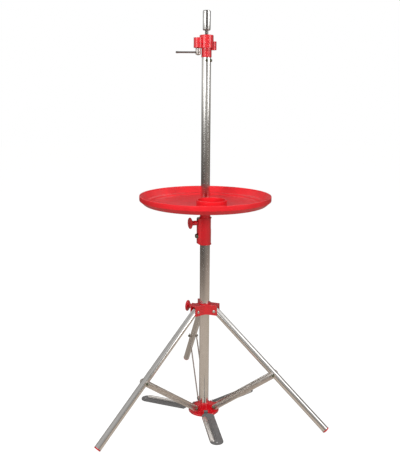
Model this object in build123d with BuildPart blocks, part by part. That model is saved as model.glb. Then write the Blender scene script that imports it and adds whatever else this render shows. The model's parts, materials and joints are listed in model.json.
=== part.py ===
"""Folding tripod work stand: telescopic mast, round tray, foot plates and a clamping head.

Frame: millimetres, +Z up the mast, origin on the floor at the centre of the base disc.
The legs point at 90, 210 and 330 degrees, the foot plates at 30, 150 and 270.
"""
from build123d import *
from math import atan2, cos, degrees, hypot, radians, sin
import os

os.makedirs("parts", exist_ok=True)

# Where the repeated parts point, in degrees about the mast.
LEG_AZIMUTHS = {"back": 90.0, "left": 210.0, "right": 330.0}
PLATE_AZIMUTHS = {"right": 30.0, "left": 150.0, "front": 270.0}

# Clearances.
RUNNING = 0.05          # radial gap of a turning or sliding fit
CLEAR = 0.4             # gap between pieces that pass each other

# Mast tubes.
OUTER_R = 16.0
OUTER_WALL = 1.5
OUTER_BOTTOM = 3.0
OUTER_TOP = 622.0
INNER_R = 14.0
INNER_WALL = 1.2
INNER_BOTTOM = 410.0
INNER_TOP = 1176.0
END_PLUG_FLANGE = 6.0
END_PLUG_SPIGOT = 16.0

# Base disc.
BASE_R = 51.0
BASE_T = 7.0
BASE_EDGE = 1.5
SOCKET_R = 19.8
SOCKET_TOP = 30.0
BASE_SCREW_Z = 19.0
BASE_SCREW_AZIMUTH = 30.0

# Legs.
LEG_R = 11.0
LEG_WALL = 1.2
LEG_PIVOT_R = 38.0
LEG_PIVOT_Z = 358.5
LEG_SLOPE = 43.15       # degrees below level
LEG_BEYOND_PIVOT = 10.0
LEG_PIN_R = 3.0
LEG_PLUG_LENGTH = 26.0
FOOT_R = 11.3           # the flange of the plug in a leg's lower end
FOOT_T = 4.0
FOOT_EDGE = 1.0
FOOT_SPIGOT = 18.0
STRUT_ALONG_LEG = 275.5

# Struts: two flat bars, one on each side of a leg.
BAR_W = 18.0
BAR_T = 2.0
BAR_INNER = 11.6        # from the leg's middle plane to a bar
STRUT_FOOT_R = 41.5
STRUT_FOOT_Z = 20.5
STRUT_PIN_R = 2.5
RIVET_HEAD_R = 4.6
RIVET_HEAD_T = 2.2
STRUT_BOLT_HEAD_R = 4.4
STRUT_BOLT_HEAD_T = 5.5
STRUT_BOLT_EDGE = 1.0
LUG_R = 7.5
LUG_HALF_W = 11.0

# Foot plates.
PLATE_SHEET = 2.0
PLATE_LIFT = 0.2
PLATE_W = 42.0
PLATE_OFFSET = 5.0      # the plate's middle line lies this far beside its radius
PLATE_TIP_R = 228.0
PLATE_WIDE_R = 44.0     # where the knuckle's tongue widens to the full plate
PLATE_ROOT_R = 52.0
PLATE_STEP_R = 61.0
PLATE_TOP_Z = 4.4
PLATE_HINGE_R = 38.0
PLATE_HINGE_Z = 12.0
PLATE_KNUCKLE_R = 4.2
PLATE_KNUCKLE_W = 12.0
PLATE_PIN_R = 2.0
PLATE_BEAD_R = 4.3
PLATE_RIB_W = 7.0
PLATE_RIB_H = 2.4
PLATE_RIB_TAPER = 35.0
PLATE_RIB_IN = 10.5     # from the step to the rib's near end
PLATE_HOLE_R = 2.6
PLATE_HOLE_IN = 13.0
EAR_T = 3.2
EAR_R = 4.6

# Sliding leg hub: three forked arms on a sleeve.
HUB_BOTTOM = 345.0
HUB_TOP = 378.5
HUB_ROOF = 374.0
HUB_ARM_END = 47.5
HUB_ARM_HALF_W = 15.4
HUB_ARM_CORNER = 2.0
HUB_WAIST_FILLET = 15.5 # between two arms, leaving the sleeve's wall there
HUB_BORE_R = 16.3
HUB_SLOT_START = 20.2
HUB_SLOT_HALF_W = 11.4
HUB_COLLAR_R = 20.5
HUB_COLLAR_TOP = 381.0
HUB_EDGE = 1.2
HUB_PIN_HEAD_R = 5.0
HUB_PIN_HEAD_T = 2.0
HUB_KNOB_AZIMUTH = 150.0
HUB_KNOB_Z = 362.0
HUB_BOSS_R = 10.5

# Height clamp.
CLAMP_BOTTOM = 575.0
CLAMP_TOP = 663.0
CLAMP_R = 18.5
CLAMP_LOWER_R = 19.1
CLAMP_SPLIT_Z = 625.0
CLAMP_EDGE = 1.5
CLAMP_FLANGE_R = 20.2
CLAMP_FLANGE_T = 3.0
CLAMP_BOSS_REACH = 25.5
CLAMP_BOSS_HALF_W = 10.0
CLAMP_AZIMUTH = 190.0
CLAMP_NUT_START = 18.5  # the square nut let into the boss's top end
CLAMP_NUT_BOTTOM = 654.0
CLAMP_NUT_HALF_W = 5.5
CLAMP_NUT_GAP = 0.1
CLAMP_KNOB_Z = 646.0
CLAMP_BOLT_Z = 604.0

# Knobs and screws, shared by the hub and the clamp.
KNOB_R = 18.0
KNOB_RIM_T = 6.0
KNOB_BACK_T = 5.0
KNOB_STEM_R = 7.5
KNOB_FLUTES = 18
KNOB_FLUTE_R = 1.5
KNOB_EDGE = 1.4
SCREW_R = 4.0
SCREW_EDGE = 0.7
SCREW_IN_KNOB = 12.0
HUB_KNOB_INNER = 44.0   # from the mast's axis to the stem's inner end
HUB_KNOB_OUTER = 62.0
CLAMP_KNOB_INNER = 27.0
CLAMP_KNOB_OUTER = 53.5
HEX_HEAD_R = 7.2
HEX_HEAD_T = 5.5
WASHER_R = 8.6
WASHER_T = 1.2

# Tray: radius and height of each corner, outside from the base to the rim, inside back to the floor.
TRAY_OUTSIDE = (
    (184.0, 704.0), (192.0, 706.0), (203.0, 716.0), (207.0, 719.0), (207.0, 732.5), (205.5, 734.0))
TRAY_INSIDE = (
    (203.0, 734.0), (201.5, 732.5), (188.0, 714.5), (185.0, 713.0), (179.0, 713.0), (175.0, 707.0))
TRAY_BASE_Z = TRAY_OUTSIDE[0][1]
TRAY_FLOOR_Z = TRAY_INSIDE[-1][1]
TRAY_BORE_R = 14.35
TRAY_NECK_R = 16.6
TRAY_NECK_BOTTOM = 663.4
TRAY_COLLAR_R = 24.0
TRAY_COLLAR_Z = 710.0
CUP_X = 8.4
CUP_Y = -62.2
CUP_R = 47.0
CUP_WALL = 4.0
CUP_TOP_Z = 729.0

# Clamping head.
HEAD_BOSS_AZIMUTH = 195.0
LEVER_AZIMUTH = 171.0
SLEEVE_R = 15.5
SLEEVE_BOTTOM = 1151.0
HEAD_PLUG_R = 12.75
HEAD_PLUG_BOTTOM = 1126.0
HUB_R = 21.0
LOWER_JAW_BOTTOM = 1178.0
PARTING_Z = 1190.0
PARTING_GAP = 0.4
UPPER_JAW_TOP = 1215.5
LEVER_BOSS_R = 13.5
LEVER_BOSS_D = 27.5
LEVER_BOSS_TOP = 1207.0
JAW_BOSS_R = 10.5
JAW_BOSS_D = 21.5
JAW_BOSS_BOTTOM = 1173.0
JAW_BOSS_TOP = 1197.5
BALL_R = 13.0
BALL_Z = 1195.0
BALL_GAP = 0.3
MOUTH_LOW_R = 8.6
MOUTH_LOW_Z = 1203.0
MOUTH_HIGH_R = 13.4
SEAT_R = 8.0
SEAT_BOTTOM = 1178.5
HEAD_SCREW_Z = 1142.0
HEAD_SCREW_R = 2.4
HEAD_SCREW_HEAD_R = 4.3
HEAD_SCREW_HEAD_T = 4.0
HEAD_SCREW_AZIMUTHS = (260.5, 330.5)
LEVER_BOLT_R = 3.0
LEVER_BOLT_HEAD_R = 5.5
LEVER_BOLT_HEAD_T = 4.0
LEVER_BOLT_BOTTOM = 1156.5
BARREL_R = 7.8
BARREL_BOTTOM = 1158.0
BARREL_TOP = 1177.6
ROD_R = 3.2
ROD_Z = 1165.0
ROD_START = 4.4
ROD_END = 67.0
JAW_BOLT_R = 2.5
JAW_BOLT_HEAD_R = 4.4
JAW_BOLT_HEAD_T = 3.5

# Spindle: it tilts about a pin through its ball.
TILT_AZIMUTH = 260.56
TILT_PIN_R = 2.0
TILT_PIN_FRONT = 16.5
TILT_PIN_BACK = 20.0
NECK_R = 5.0
CORE_R = 8.95
CORE_FLANGE_R = 10.5
CORE_FLANGE_T = 2.0
SPINDLE_BOTTOM = 1231.0
SPINDLE_TOP = 1284.0
SPINDLE_R = 11.9
SPINDLE_BORE_R = 9.0
SPINDLE_SLOT_W = 5.6
SPINDLE_SLOT_AZIMUTH = 260.5
SPINDLE_TOP_CHAMFER = 1.5
SPINDLE_BOTTOM_CHAMFER = 0.5
RETAINER_R = 10.2
RETAINER_T = 1.8


def polar(radius, azimuth, height=0.0):
    """The point at this radius, azimuth in degrees and height."""
    return (radius * cos(radians(azimuth)), radius * sin(radians(azimuth)), height)


def radial_plane(azimuth, across=0.0):
    """A vertical plane through the mast: x runs outwards, y upwards, across is anticlockwise."""
    c, s = cos(radians(azimuth)), sin(radians(azimuth))
    return Plane(origin=(-across * s, across * c, 0), x_dir=(c, s, 0), z_dir=(s, -c, 0))


def facing_plane(azimuth, distance, height):
    """A vertical plane whose normal points outwards: x runs anticlockwise, y upwards."""
    c, s = cos(radians(azimuth)), sin(radians(azimuth))
    return Plane(origin=polar(distance, azimuth, height), x_dir=(-s, c, 0), z_dir=(c, s, 0))


def leg_plane(azimuth, along=0.0):
    """A plane square to the leg, this far down it from its pivot: z points at the foot."""
    level = cos(radians(LEG_SLOPE))
    drop = sin(radians(LEG_SLOPE))
    c, s = cos(radians(azimuth)), sin(radians(azimuth))
    centre = polar(LEG_PIVOT_R + along * level, azimuth, LEG_PIVOT_Z - along * drop)
    return Plane(origin=centre, x_dir=(-s, c, 0), z_dir=(level * c, level * s, -drop))


def side_plane(azimuth, across):
    """A plane square to the leg's pins, across from the leg's middle: z points anticlockwise."""
    c, s = cos(radians(azimuth)), sin(radians(azimuth))
    return Plane(origin=(-across * s, across * c, 0), x_dir=(-c, -s, 0), z_dir=(-s, c, 0))


def save(builder, name):
    """Label a finished part and write its STEP file."""
    builder.part.label = name
    export_step(builder.part, f"parts/{name}.step")


# Lengths and points that follow from the sizes above.
LEG_END = FOOT_EDGE + (
    LEG_PIVOT_Z - FOOT_EDGE - (FOOT_R - FOOT_EDGE) * cos(radians(LEG_SLOPE))) / sin(radians(LEG_SLOPE))
STRUT_TOP_R = LEG_PIVOT_R + STRUT_ALONG_LEG * cos(radians(LEG_SLOPE))
STRUT_TOP_Z = LEG_PIVOT_Z - STRUT_ALONG_LEG * sin(radians(LEG_SLOPE))
STRUT_LENGTH = hypot(STRUT_TOP_R - STRUT_FOOT_R, STRUT_TOP_Z - STRUT_FOOT_Z)
STRUT_SLOPE = degrees(atan2(STRUT_TOP_Z - STRUT_FOOT_Z, STRUT_TOP_R - STRUT_FOOT_R))
BAR_OUTER = BAR_INNER + BAR_T
print(f"leg {LEG_END:.1f} strut {STRUT_LENGTH:.1f} at {STRUT_SLOPE:.2f} deg to"
      f" r {STRUT_TOP_R:.1f} z {STRUT_TOP_Z:.1f}")

# ---------------------------------------------------------------- base

with BuildPart() as base_disc:
    with BuildSketch(Plane.XY):
        Circle(BASE_R)
    extrude(amount=BASE_T)
    fillet(base_disc.edges().group_by(Axis.Z)[-1], BASE_EDGE)
    with BuildSketch(Plane.XY.offset(BASE_T)):
        Circle(SOCKET_R)
    extrude(amount=SOCKET_TOP - BASE_T)
    chamfer(base_disc.edges().group_by(Axis.Z)[-1], BASE_EDGE)
    for azimuth in LEG_AZIMUTHS.values():
        with BuildSketch(radial_plane(azimuth)):
            with Locations((STRUT_FOOT_R, STRUT_FOOT_Z)):
                Circle(LUG_R)
            with Locations((STRUT_FOOT_R / 2 + LUG_R / 2, (BASE_T + STRUT_FOOT_Z) / 2)):
                Rectangle(STRUT_FOOT_R + LUG_R - CLEAR, STRUT_FOOT_Z - BASE_T)
            with Locations((STRUT_FOOT_R / 2, STRUT_FOOT_Z)):
                Rectangle(STRUT_FOOT_R, 2 * LUG_R - CLEAR)
        extrude(amount=LUG_HALF_W, both=True)
    for azimuth in PLATE_AZIMUTHS.values():
        for side in (-1, 1):
            ear_middle = side * (PLATE_KNUCKLE_W / 2 + CLEAR + EAR_T / 2)
            with BuildSketch(radial_plane(azimuth, ear_middle)):
                with Locations((PLATE_HINGE_R, PLATE_HINGE_Z)):
                    Circle(EAR_R)
                with Locations((PLATE_HINGE_R, (BASE_T - BASE_EDGE + PLATE_HINGE_Z) / 2)):
                    Rectangle(2 * EAR_R, PLATE_HINGE_Z - BASE_T + BASE_EDGE)
            extrude(amount=EAR_T / 2, both=True)
    with BuildSketch(Plane.XY.offset(OUTER_BOTTOM)):
        Circle(OUTER_R)
    extrude(amount=SOCKET_TOP, mode=Mode.SUBTRACT)
    for azimuth in LEG_AZIMUTHS.values():
        with BuildSketch(radial_plane(azimuth)):
            with Locations((STRUT_FOOT_R, STRUT_FOOT_Z)):
                Circle(STRUT_PIN_R)
        extrude(amount=LUG_HALF_W + CLEAR, both=True, mode=Mode.SUBTRACT)
    for azimuth in PLATE_AZIMUTHS.values():
        with BuildSketch(radial_plane(azimuth)):
            with Locations((PLATE_HINGE_R, PLATE_HINGE_Z)):
                Circle(PLATE_PIN_R)
        extrude(amount=PLATE_KNUCKLE_W / 2 + CLEAR + EAR_T, both=True, mode=Mode.SUBTRACT)
    with BuildSketch(facing_plane(BASE_SCREW_AZIMUTH, OUTER_R - OUTER_WALL, BASE_SCREW_Z)):
        Circle(HEAD_SCREW_R)
    extrude(amount=SOCKET_R, mode=Mode.SUBTRACT)
save(base_disc, "base_disc")

with BuildPart() as tube_base_screw:
    with BuildSketch(facing_plane(BASE_SCREW_AZIMUTH, OUTER_R - 2 * OUTER_WALL, BASE_SCREW_Z)):
        Circle(HEAD_SCREW_R)
    extrude(amount=SOCKET_R - OUTER_R + 2 * OUTER_WALL)
    with BuildSketch(facing_plane(BASE_SCREW_AZIMUTH, SOCKET_R, BASE_SCREW_Z)):
        Circle(HEAD_SCREW_HEAD_R)
    extrude(amount=HEAD_SCREW_HEAD_T / 2)
    outward = Axis((0, 0, BASE_SCREW_Z), polar(1, BASE_SCREW_AZIMUTH))
    chamfer(tube_base_screw.edges().sort_by(outward)[-1], SCREW_EDGE)
save(tube_base_screw, "tube_base_screw")

with BuildPart() as strut_pins:
    for azimuth in LEG_AZIMUTHS.values():
        with BuildSketch(radial_plane(azimuth)):
            with Locations((STRUT_FOOT_R, STRUT_FOOT_Z)):
                Circle(STRUT_PIN_R)
        extrude(amount=BAR_OUTER + CLEAR, both=True)
        for side in (-1, 1):
            with BuildSketch(radial_plane(azimuth, side * (BAR_OUTER + CLEAR + RIVET_HEAD_T / 2))):
                with Locations((STRUT_FOOT_R, STRUT_FOOT_Z)):
                    Circle(RIVET_HEAD_R)
            extrude(amount=RIVET_HEAD_T / 2, both=True)
save(strut_pins, "strut_pins")

with BuildPart() as foot_plate_pins:
    for azimuth in PLATE_AZIMUTHS.values():
        with BuildSketch(radial_plane(azimuth)):
            with Locations((PLATE_HINGE_R, PLATE_HINGE_Z)):
                Circle(PLATE_PIN_R)
        extrude(amount=PLATE_KNUCKLE_W / 2 + CLEAR + EAR_T + CLEAR, both=True)
save(foot_plate_pins, "foot_plate_pins")

# ---------------------------------------------------------------- foot plates


def foot_plate(name, azimuth):
    """A pressed plate that lies on the floor, with a rolled edge, a rib and a hinge knuckle."""
    tip_r = PLATE_W / 2
    straight_end = PLATE_TIP_R - tip_r
    knuckle_low = PLATE_HINGE_Z - PLATE_KNUCKLE_R
    with BuildPart() as plate:
        # The sheet seen from the side: over the disc, down to the floor, then flat.
        with BuildSketch(radial_plane(azimuth, PLATE_OFFSET)):
            with BuildLine():
                Polyline(
                    (PLATE_HINGE_R, knuckle_low), (PLATE_ROOT_R, knuckle_low),
                    (PLATE_STEP_R, PLATE_TOP_Z - PLATE_SHEET), (PLATE_TIP_R, PLATE_TOP_Z - PLATE_SHEET),
                    (PLATE_TIP_R, PLATE_TOP_Z), (PLATE_STEP_R + PLATE_SHEET, PLATE_TOP_Z),
                    (PLATE_ROOT_R + PLATE_SHEET, knuckle_low + PLATE_SHEET),
                    (PLATE_HINGE_R, knuckle_low + PLATE_SHEET), close=True)
            make_face()
        extrude(amount=PLATE_W / 2, both=True)
        # Round the tip and narrow the root to the knuckle.
        outline = Plane(origin=polar(0, azimuth), x_dir=polar(1, azimuth), z_dir=(0, 0, 1))
        with BuildSketch(outline):
            with Locations(((PLATE_WIDE_R + straight_end) / 2, PLATE_OFFSET)):
                Rectangle(straight_end - PLATE_WIDE_R, PLATE_W)
            with Locations((straight_end, PLATE_OFFSET)):
                Circle(tip_r)
            with Locations(((PLATE_HINGE_R + PLATE_WIDE_R) / 2, 0)):
                Rectangle(PLATE_WIDE_R - PLATE_HINGE_R, PLATE_KNUCKLE_W)
        extrude(amount=PLATE_HINGE_Z, mode=Mode.INTERSECT)
        # The turned-down rim reaches the floor outside the disc.
        with BuildSketch(outline.offset(PLATE_LIFT)):
            with Locations(((PLATE_STEP_R + straight_end) / 2, PLATE_OFFSET)):
                Rectangle(straight_end - PLATE_STEP_R, PLATE_W)
            with Locations((straight_end, PLATE_OFFSET)):
                Circle(tip_r)
            with Locations(((PLATE_STEP_R + straight_end) / 2, PLATE_OFFSET)):
                Rectangle(straight_end - PLATE_STEP_R, PLATE_W - 2 * PLATE_SHEET, mode=Mode.SUBTRACT)
            with Locations((straight_end, PLATE_OFFSET)):
                Circle(tip_r - PLATE_SHEET, mode=Mode.SUBTRACT)
        extrude(amount=PLATE_TOP_Z - PLATE_LIFT)
        # The rolled edge on the clockwise side.
        bead_across = PLATE_OFFSET - PLATE_W / 2 + PLATE_BEAD_R
        with BuildSketch(facing_plane(azimuth, PLATE_STEP_R, 0)):
            with Locations((bead_across, PLATE_BEAD_R + PLATE_LIFT)):
                Circle(PLATE_BEAD_R)
        extrude(amount=straight_end - PLATE_STEP_R)
        bead_end = outline.from_local_coords(
            (straight_end, bead_across, PLATE_BEAD_R + PLATE_LIFT))
        with Locations(bead_end):
            Sphere(PLATE_BEAD_R)
        # The middle rib, a low ridge with a rounded far end.
        rib_start = PLATE_STEP_R + PLATE_RIB_IN
        rib_end = PLATE_TIP_R - 2 * PLATE_HOLE_IN
        with BuildSketch(outline.offset(PLATE_TOP_Z)):
            with Locations(((rib_start + rib_end) / 2, PLATE_OFFSET)):
                SlotOverall(rib_end - rib_start, PLATE_RIB_W)
        extrude(amount=PLATE_RIB_H, taper=PLATE_RIB_TAPER)
        # The knuckle round the hinge pin.
        with BuildSketch(radial_plane(azimuth)):
            with Locations((PLATE_HINGE_R, PLATE_HINGE_Z)):
                Circle(PLATE_KNUCKLE_R)
        extrude(amount=PLATE_KNUCKLE_W / 2, both=True)
        with BuildSketch(radial_plane(azimuth)):
            with Locations((PLATE_HINGE_R, PLATE_HINGE_Z)):
                Circle(PLATE_PIN_R + RUNNING)
        extrude(amount=PLATE_KNUCKLE_W, both=True, mode=Mode.SUBTRACT)
        with BuildSketch(outline):
            with Locations((PLATE_TIP_R - PLATE_HOLE_IN, PLATE_OFFSET)):
                Circle(PLATE_HOLE_R)
        extrude(amount=PLATE_HINGE_Z, mode=Mode.SUBTRACT)
    save(plate, name)


for side, azimuth in PLATE_AZIMUTHS.items():
    foot_plate(f"foot_plate_{side}", azimuth)

# ---------------------------------------------------------------- mast tubes

with BuildPart() as outer_tube:
    with BuildSketch(Plane.XY.offset(OUTER_BOTTOM)):
        Circle(OUTER_R)
        Circle(OUTER_R - OUTER_WALL, mode=Mode.SUBTRACT)
    extrude(amount=OUTER_TOP - OUTER_BOTTOM)
    with BuildSketch(facing_plane(BASE_SCREW_AZIMUTH, 0, BASE_SCREW_Z)):
        Circle(HEAD_SCREW_R)
    extrude(amount=2 * OUTER_R, mode=Mode.SUBTRACT)
save(outer_tube, "outer_tube")

with BuildPart() as inner_tube:
    with BuildSketch(Plane.XY.offset(INNER_BOTTOM)):
        Circle(INNER_R)
        Circle(INNER_R - INNER_WALL, mode=Mode.SUBTRACT)
    extrude(amount=INNER_TOP - INNER_BOTTOM)
    for azimuth in HEAD_SCREW_AZIMUTHS:
        with BuildSketch(facing_plane(azimuth, 0, HEAD_SCREW_Z)):
            Circle(HEAD_SCREW_R)
        extrude(amount=2 * INNER_R, mode=Mode.SUBTRACT)
save(inner_tube, "inner_tube")

with BuildPart() as tube_end_plug:
    with BuildSketch(Plane.XY.offset(INNER_BOTTOM - END_PLUG_FLANGE)):
        Circle(OUTER_R - OUTER_WALL - RUNNING)
    extrude(amount=END_PLUG_FLANGE)
    chamfer(tube_end_plug.edges().group_by(Axis.Z)[0], OUTER_WALL)
    with BuildSketch(Plane.XY.offset(INNER_BOTTOM)):
        Circle(INNER_R - INNER_WALL)
    extrude(amount=END_PLUG_SPIGOT)
    with BuildSketch(Plane.XY.offset(INNER_BOTTOM - END_PLUG_FLANGE)):
        Circle(INNER_R / 2)
    extrude(amount=END_PLUG_FLANGE + END_PLUG_SPIGOT, mode=Mode.SUBTRACT)
save(tube_end_plug, "tube_end_plug")

# ---------------------------------------------------------------- legs and struts


def leg_tube(name, azimuth):
    """A leg's tube, from just beyond its pivot to the flange of its foot plug."""
    with BuildPart() as tube:
        with BuildSketch(leg_plane(azimuth, -LEG_BEYOND_PIVOT)):
            Circle(LEG_R)
            Circle(LEG_R - LEG_WALL, mode=Mode.SUBTRACT)
        extrude(amount=LEG_BEYOND_PIVOT + LEG_END - FOOT_T)
        with BuildSketch(radial_plane(azimuth)):
            with Locations((LEG_PIVOT_R, LEG_PIVOT_Z)):
                Circle(LEG_PIN_R + RUNNING)
        extrude(amount=2 * LEG_R, both=True, mode=Mode.SUBTRACT)
    save(tube, name)


def leg_foot(name, azimuth):
    """The moulded plug in a leg's lower end: its flange's edge stands on the floor."""
    with BuildPart() as foot:
        with BuildSketch(leg_plane(azimuth, LEG_END - FOOT_T)):
            Circle(FOOT_R)
        extrude(amount=FOOT_T)
        down_the_leg = Axis((0, 0, 0), tuple(leg_plane(azimuth).z_dir))
        fillet(foot.edges().sort_by(down_the_leg)[-1], FOOT_EDGE)
        with BuildSketch(leg_plane(azimuth, LEG_END - FOOT_T - FOOT_SPIGOT)):
            Circle(LEG_R - LEG_WALL)
        extrude(amount=FOOT_SPIGOT)
    save(foot, name)


def leg_plug(name, azimuth):
    """The nylon plug in a leg's top end, which carries the pivot pin."""
    with BuildPart() as plug:
        with BuildSketch(leg_plane(azimuth, -LEG_BEYOND_PIVOT)):
            Circle(LEG_R - LEG_WALL)
        extrude(amount=LEG_PLUG_LENGTH)
        with BuildSketch(radial_plane(azimuth)):
            with Locations((LEG_PIVOT_R, LEG_PIVOT_Z)):
                Circle(LEG_PIN_R + RUNNING)
        extrude(amount=2 * LEG_R, both=True, mode=Mode.SUBTRACT)
    save(plug, name)


def strut_bars(name, azimuth):
    """A strut's two flat bars, on either side of the leg's middle plane."""
    with BuildPart() as bars:
        for side in (-1, 1):
            with BuildSketch(radial_plane(azimuth, side * (BAR_INNER + BAR_T / 2))):
                middle = ((STRUT_FOOT_R + STRUT_TOP_R) / 2, (STRUT_FOOT_Z + STRUT_TOP_Z) / 2)
                with Locations(middle):
                    SlotCenterToCenter(STRUT_LENGTH, BAR_W, rotation=STRUT_SLOPE)
                with Locations((STRUT_FOOT_R, STRUT_FOOT_Z)):
                    Circle(STRUT_PIN_R + RUNNING, mode=Mode.SUBTRACT)
                with Locations((STRUT_TOP_R, STRUT_TOP_Z)):
                    Circle(STRUT_PIN_R, mode=Mode.SUBTRACT)
            extrude(amount=BAR_T / 2, both=True)
    save(bars, name)


def strut_rivets(name, azimuth):
    """The rivet ends that join a strut's bars to its leg, one in each bar."""
    with BuildPart() as rivets:
        for side in (-1, 1):
            with BuildSketch(radial_plane(azimuth, side * (BAR_INNER + BAR_T / 2))):
                with Locations((STRUT_TOP_R, STRUT_TOP_Z)):
                    Circle(STRUT_PIN_R)
            extrude(amount=BAR_T / 2, both=True)
            with BuildSketch(side_plane(azimuth, side * BAR_OUTER)):
                with Locations((-STRUT_TOP_R, STRUT_TOP_Z)):
                    Circle(STRUT_BOLT_HEAD_R)
            extrude(amount=side * STRUT_BOLT_HEAD_T)
            across = Axis((0, 0, 0), polar(side, azimuth + 90))
            fillet(rivets.edges().sort_by(across)[-1], STRUT_BOLT_EDGE)
    save(rivets, name)


for side, azimuth in LEG_AZIMUTHS.items():
    leg_tube(f"leg_tube_{side}", azimuth)
    leg_foot(f"leg_foot_{side}", azimuth)
    leg_plug(f"leg_plug_{side}", azimuth)
    strut_bars(f"strut_bars_{side}", azimuth)
    strut_rivets(f"strut_rivets_{side}", azimuth)

# ---------------------------------------------------------------- sliding leg hub

with BuildPart() as leg_hub:
    with BuildSketch(Plane.XY.offset(HUB_BOTTOM)) as hub_outline:
        for azimuth in LEG_AZIMUTHS.values():
            with Locations(polar(HUB_ARM_END / 2, azimuth)[:2]):
                Rectangle(HUB_ARM_END, 2 * HUB_ARM_HALF_W, rotation=azimuth)
        arms = len(LEG_AZIMUTHS)
        fillet(hub_outline.vertices().sort_by_distance((0, 0, 0))[:arms], HUB_WAIST_FILLET)
        fillet(hub_outline.vertices().sort_by_distance((0, 0, 0))[-2 * arms:], HUB_ARM_CORNER)
    extrude(amount=HUB_TOP - HUB_BOTTOM)
    fillet(leg_hub.edges().group_by(Axis.Z)[-1], HUB_EDGE)
    with BuildSketch(Plane.XY.offset(HUB_TOP)):
        Circle(HUB_COLLAR_R)
    extrude(amount=HUB_COLLAR_TOP - HUB_TOP)
    # The knob's boss, between two arms.
    with BuildSketch(facing_plane(HUB_KNOB_AZIMUTH, HUB_BORE_R, HUB_KNOB_Z)):
        Circle(HUB_BOSS_R)
    extrude(amount=HUB_KNOB_INNER - CLEAR - HUB_BORE_R)
    # Slots for the legs, under the roof and open at the arms' ends.
    for azimuth in LEG_AZIMUTHS.values():
        with BuildSketch(radial_plane(azimuth)):
            with Locations((HUB_SLOT_START + HUB_ARM_END / 2, (HUB_BOTTOM + HUB_ROOF) / 2)):
                Rectangle(HUB_ARM_END, HUB_ROOF - HUB_BOTTOM)
        extrude(amount=HUB_SLOT_HALF_W, both=True, mode=Mode.SUBTRACT)
        with BuildSketch(radial_plane(azimuth)):
            with Locations((LEG_PIVOT_R, LEG_PIVOT_Z)):
                Circle(LEG_PIN_R)
        extrude(amount=HUB_ARM_HALF_W + CLEAR, both=True, mode=Mode.SUBTRACT)
    with BuildSketch(Plane.XY.offset(HUB_BOTTOM)):
        Circle(HUB_BORE_R)
    extrude(amount=HUB_COLLAR_TOP - HUB_BOTTOM, mode=Mode.SUBTRACT)
    with BuildSketch(facing_plane(HUB_KNOB_AZIMUTH, 0, HUB_KNOB_Z)):
        Circle(SCREW_R + RUNNING)
    extrude(amount=HUB_KNOB_OUTER, mode=Mode.SUBTRACT)
save(leg_hub, "leg_hub")

with BuildPart() as leg_pins:
    for azimuth in LEG_AZIMUTHS.values():
        with BuildSketch(radial_plane(azimuth)):
            with Locations((LEG_PIVOT_R, LEG_PIVOT_Z)):
                Circle(LEG_PIN_R)
        extrude(amount=HUB_ARM_HALF_W, both=True)
        for side in (-1, 1):
            with BuildSketch(side_plane(azimuth, side * HUB_ARM_HALF_W)):
                with Locations((-LEG_PIVOT_R, LEG_PIVOT_Z)):
                    Circle(HUB_PIN_HEAD_R)
            extrude(amount=side * HUB_PIN_HEAD_T)
save(leg_pins, "leg_pins")


def knob(name, azimuth, inner, outer, height):
    """A fluted mushroom knob on a round stem, from inner to outer distance."""
    rim = outer - KNOB_RIM_T
    with BuildPart() as body:
        with BuildSketch(radial_plane(azimuth)):
            with BuildLine():
                Polyline((inner, height), (inner, height + KNOB_STEM_R),
                         (rim - KNOB_BACK_T, height + KNOB_STEM_R),
                         (rim, height + KNOB_R - KNOB_EDGE), (rim + KNOB_EDGE, height + KNOB_R),
                         (outer - KNOB_EDGE, height + KNOB_R), (outer, height + KNOB_R - KNOB_EDGE),
                         (outer, height), close=True)
            make_face()
        revolve(axis=Axis((0, 0, height), polar(1, azimuth)))
        with BuildSketch(facing_plane(azimuth, rim, height)):
            with PolarLocations(KNOB_R + KNOB_FLUTE_R / 2, KNOB_FLUTES):
                Circle(KNOB_FLUTE_R)
        extrude(amount=KNOB_RIM_T, mode=Mode.SUBTRACT)
        with BuildSketch(facing_plane(azimuth, inner, height)):
            Circle(SCREW_R)
        extrude(amount=SCREW_IN_KNOB, mode=Mode.SUBTRACT)
    save(body, name)


def knob_screw(name, azimuth, tip, inner, height):
    """The plain screw that a knob turns, from its tip near the tube into the knob."""
    with BuildPart() as screw:
        with BuildSketch(facing_plane(azimuth, tip, height)):
            Circle(SCREW_R)
        extrude(amount=inner + SCREW_IN_KNOB - tip)
        chamfer(screw.edges().sort_by(Axis((0, 0, height), polar(1, azimuth)))[0], SCREW_EDGE)
    save(screw, name)


knob("hub_knob", HUB_KNOB_AZIMUTH, HUB_KNOB_INNER, HUB_KNOB_OUTER, HUB_KNOB_Z)
knob_screw("hub_knob_screw", HUB_KNOB_AZIMUTH, OUTER_R + CLEAR, HUB_KNOB_INNER, HUB_KNOB_Z)

# ---------------------------------------------------------------- height clamp

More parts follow.
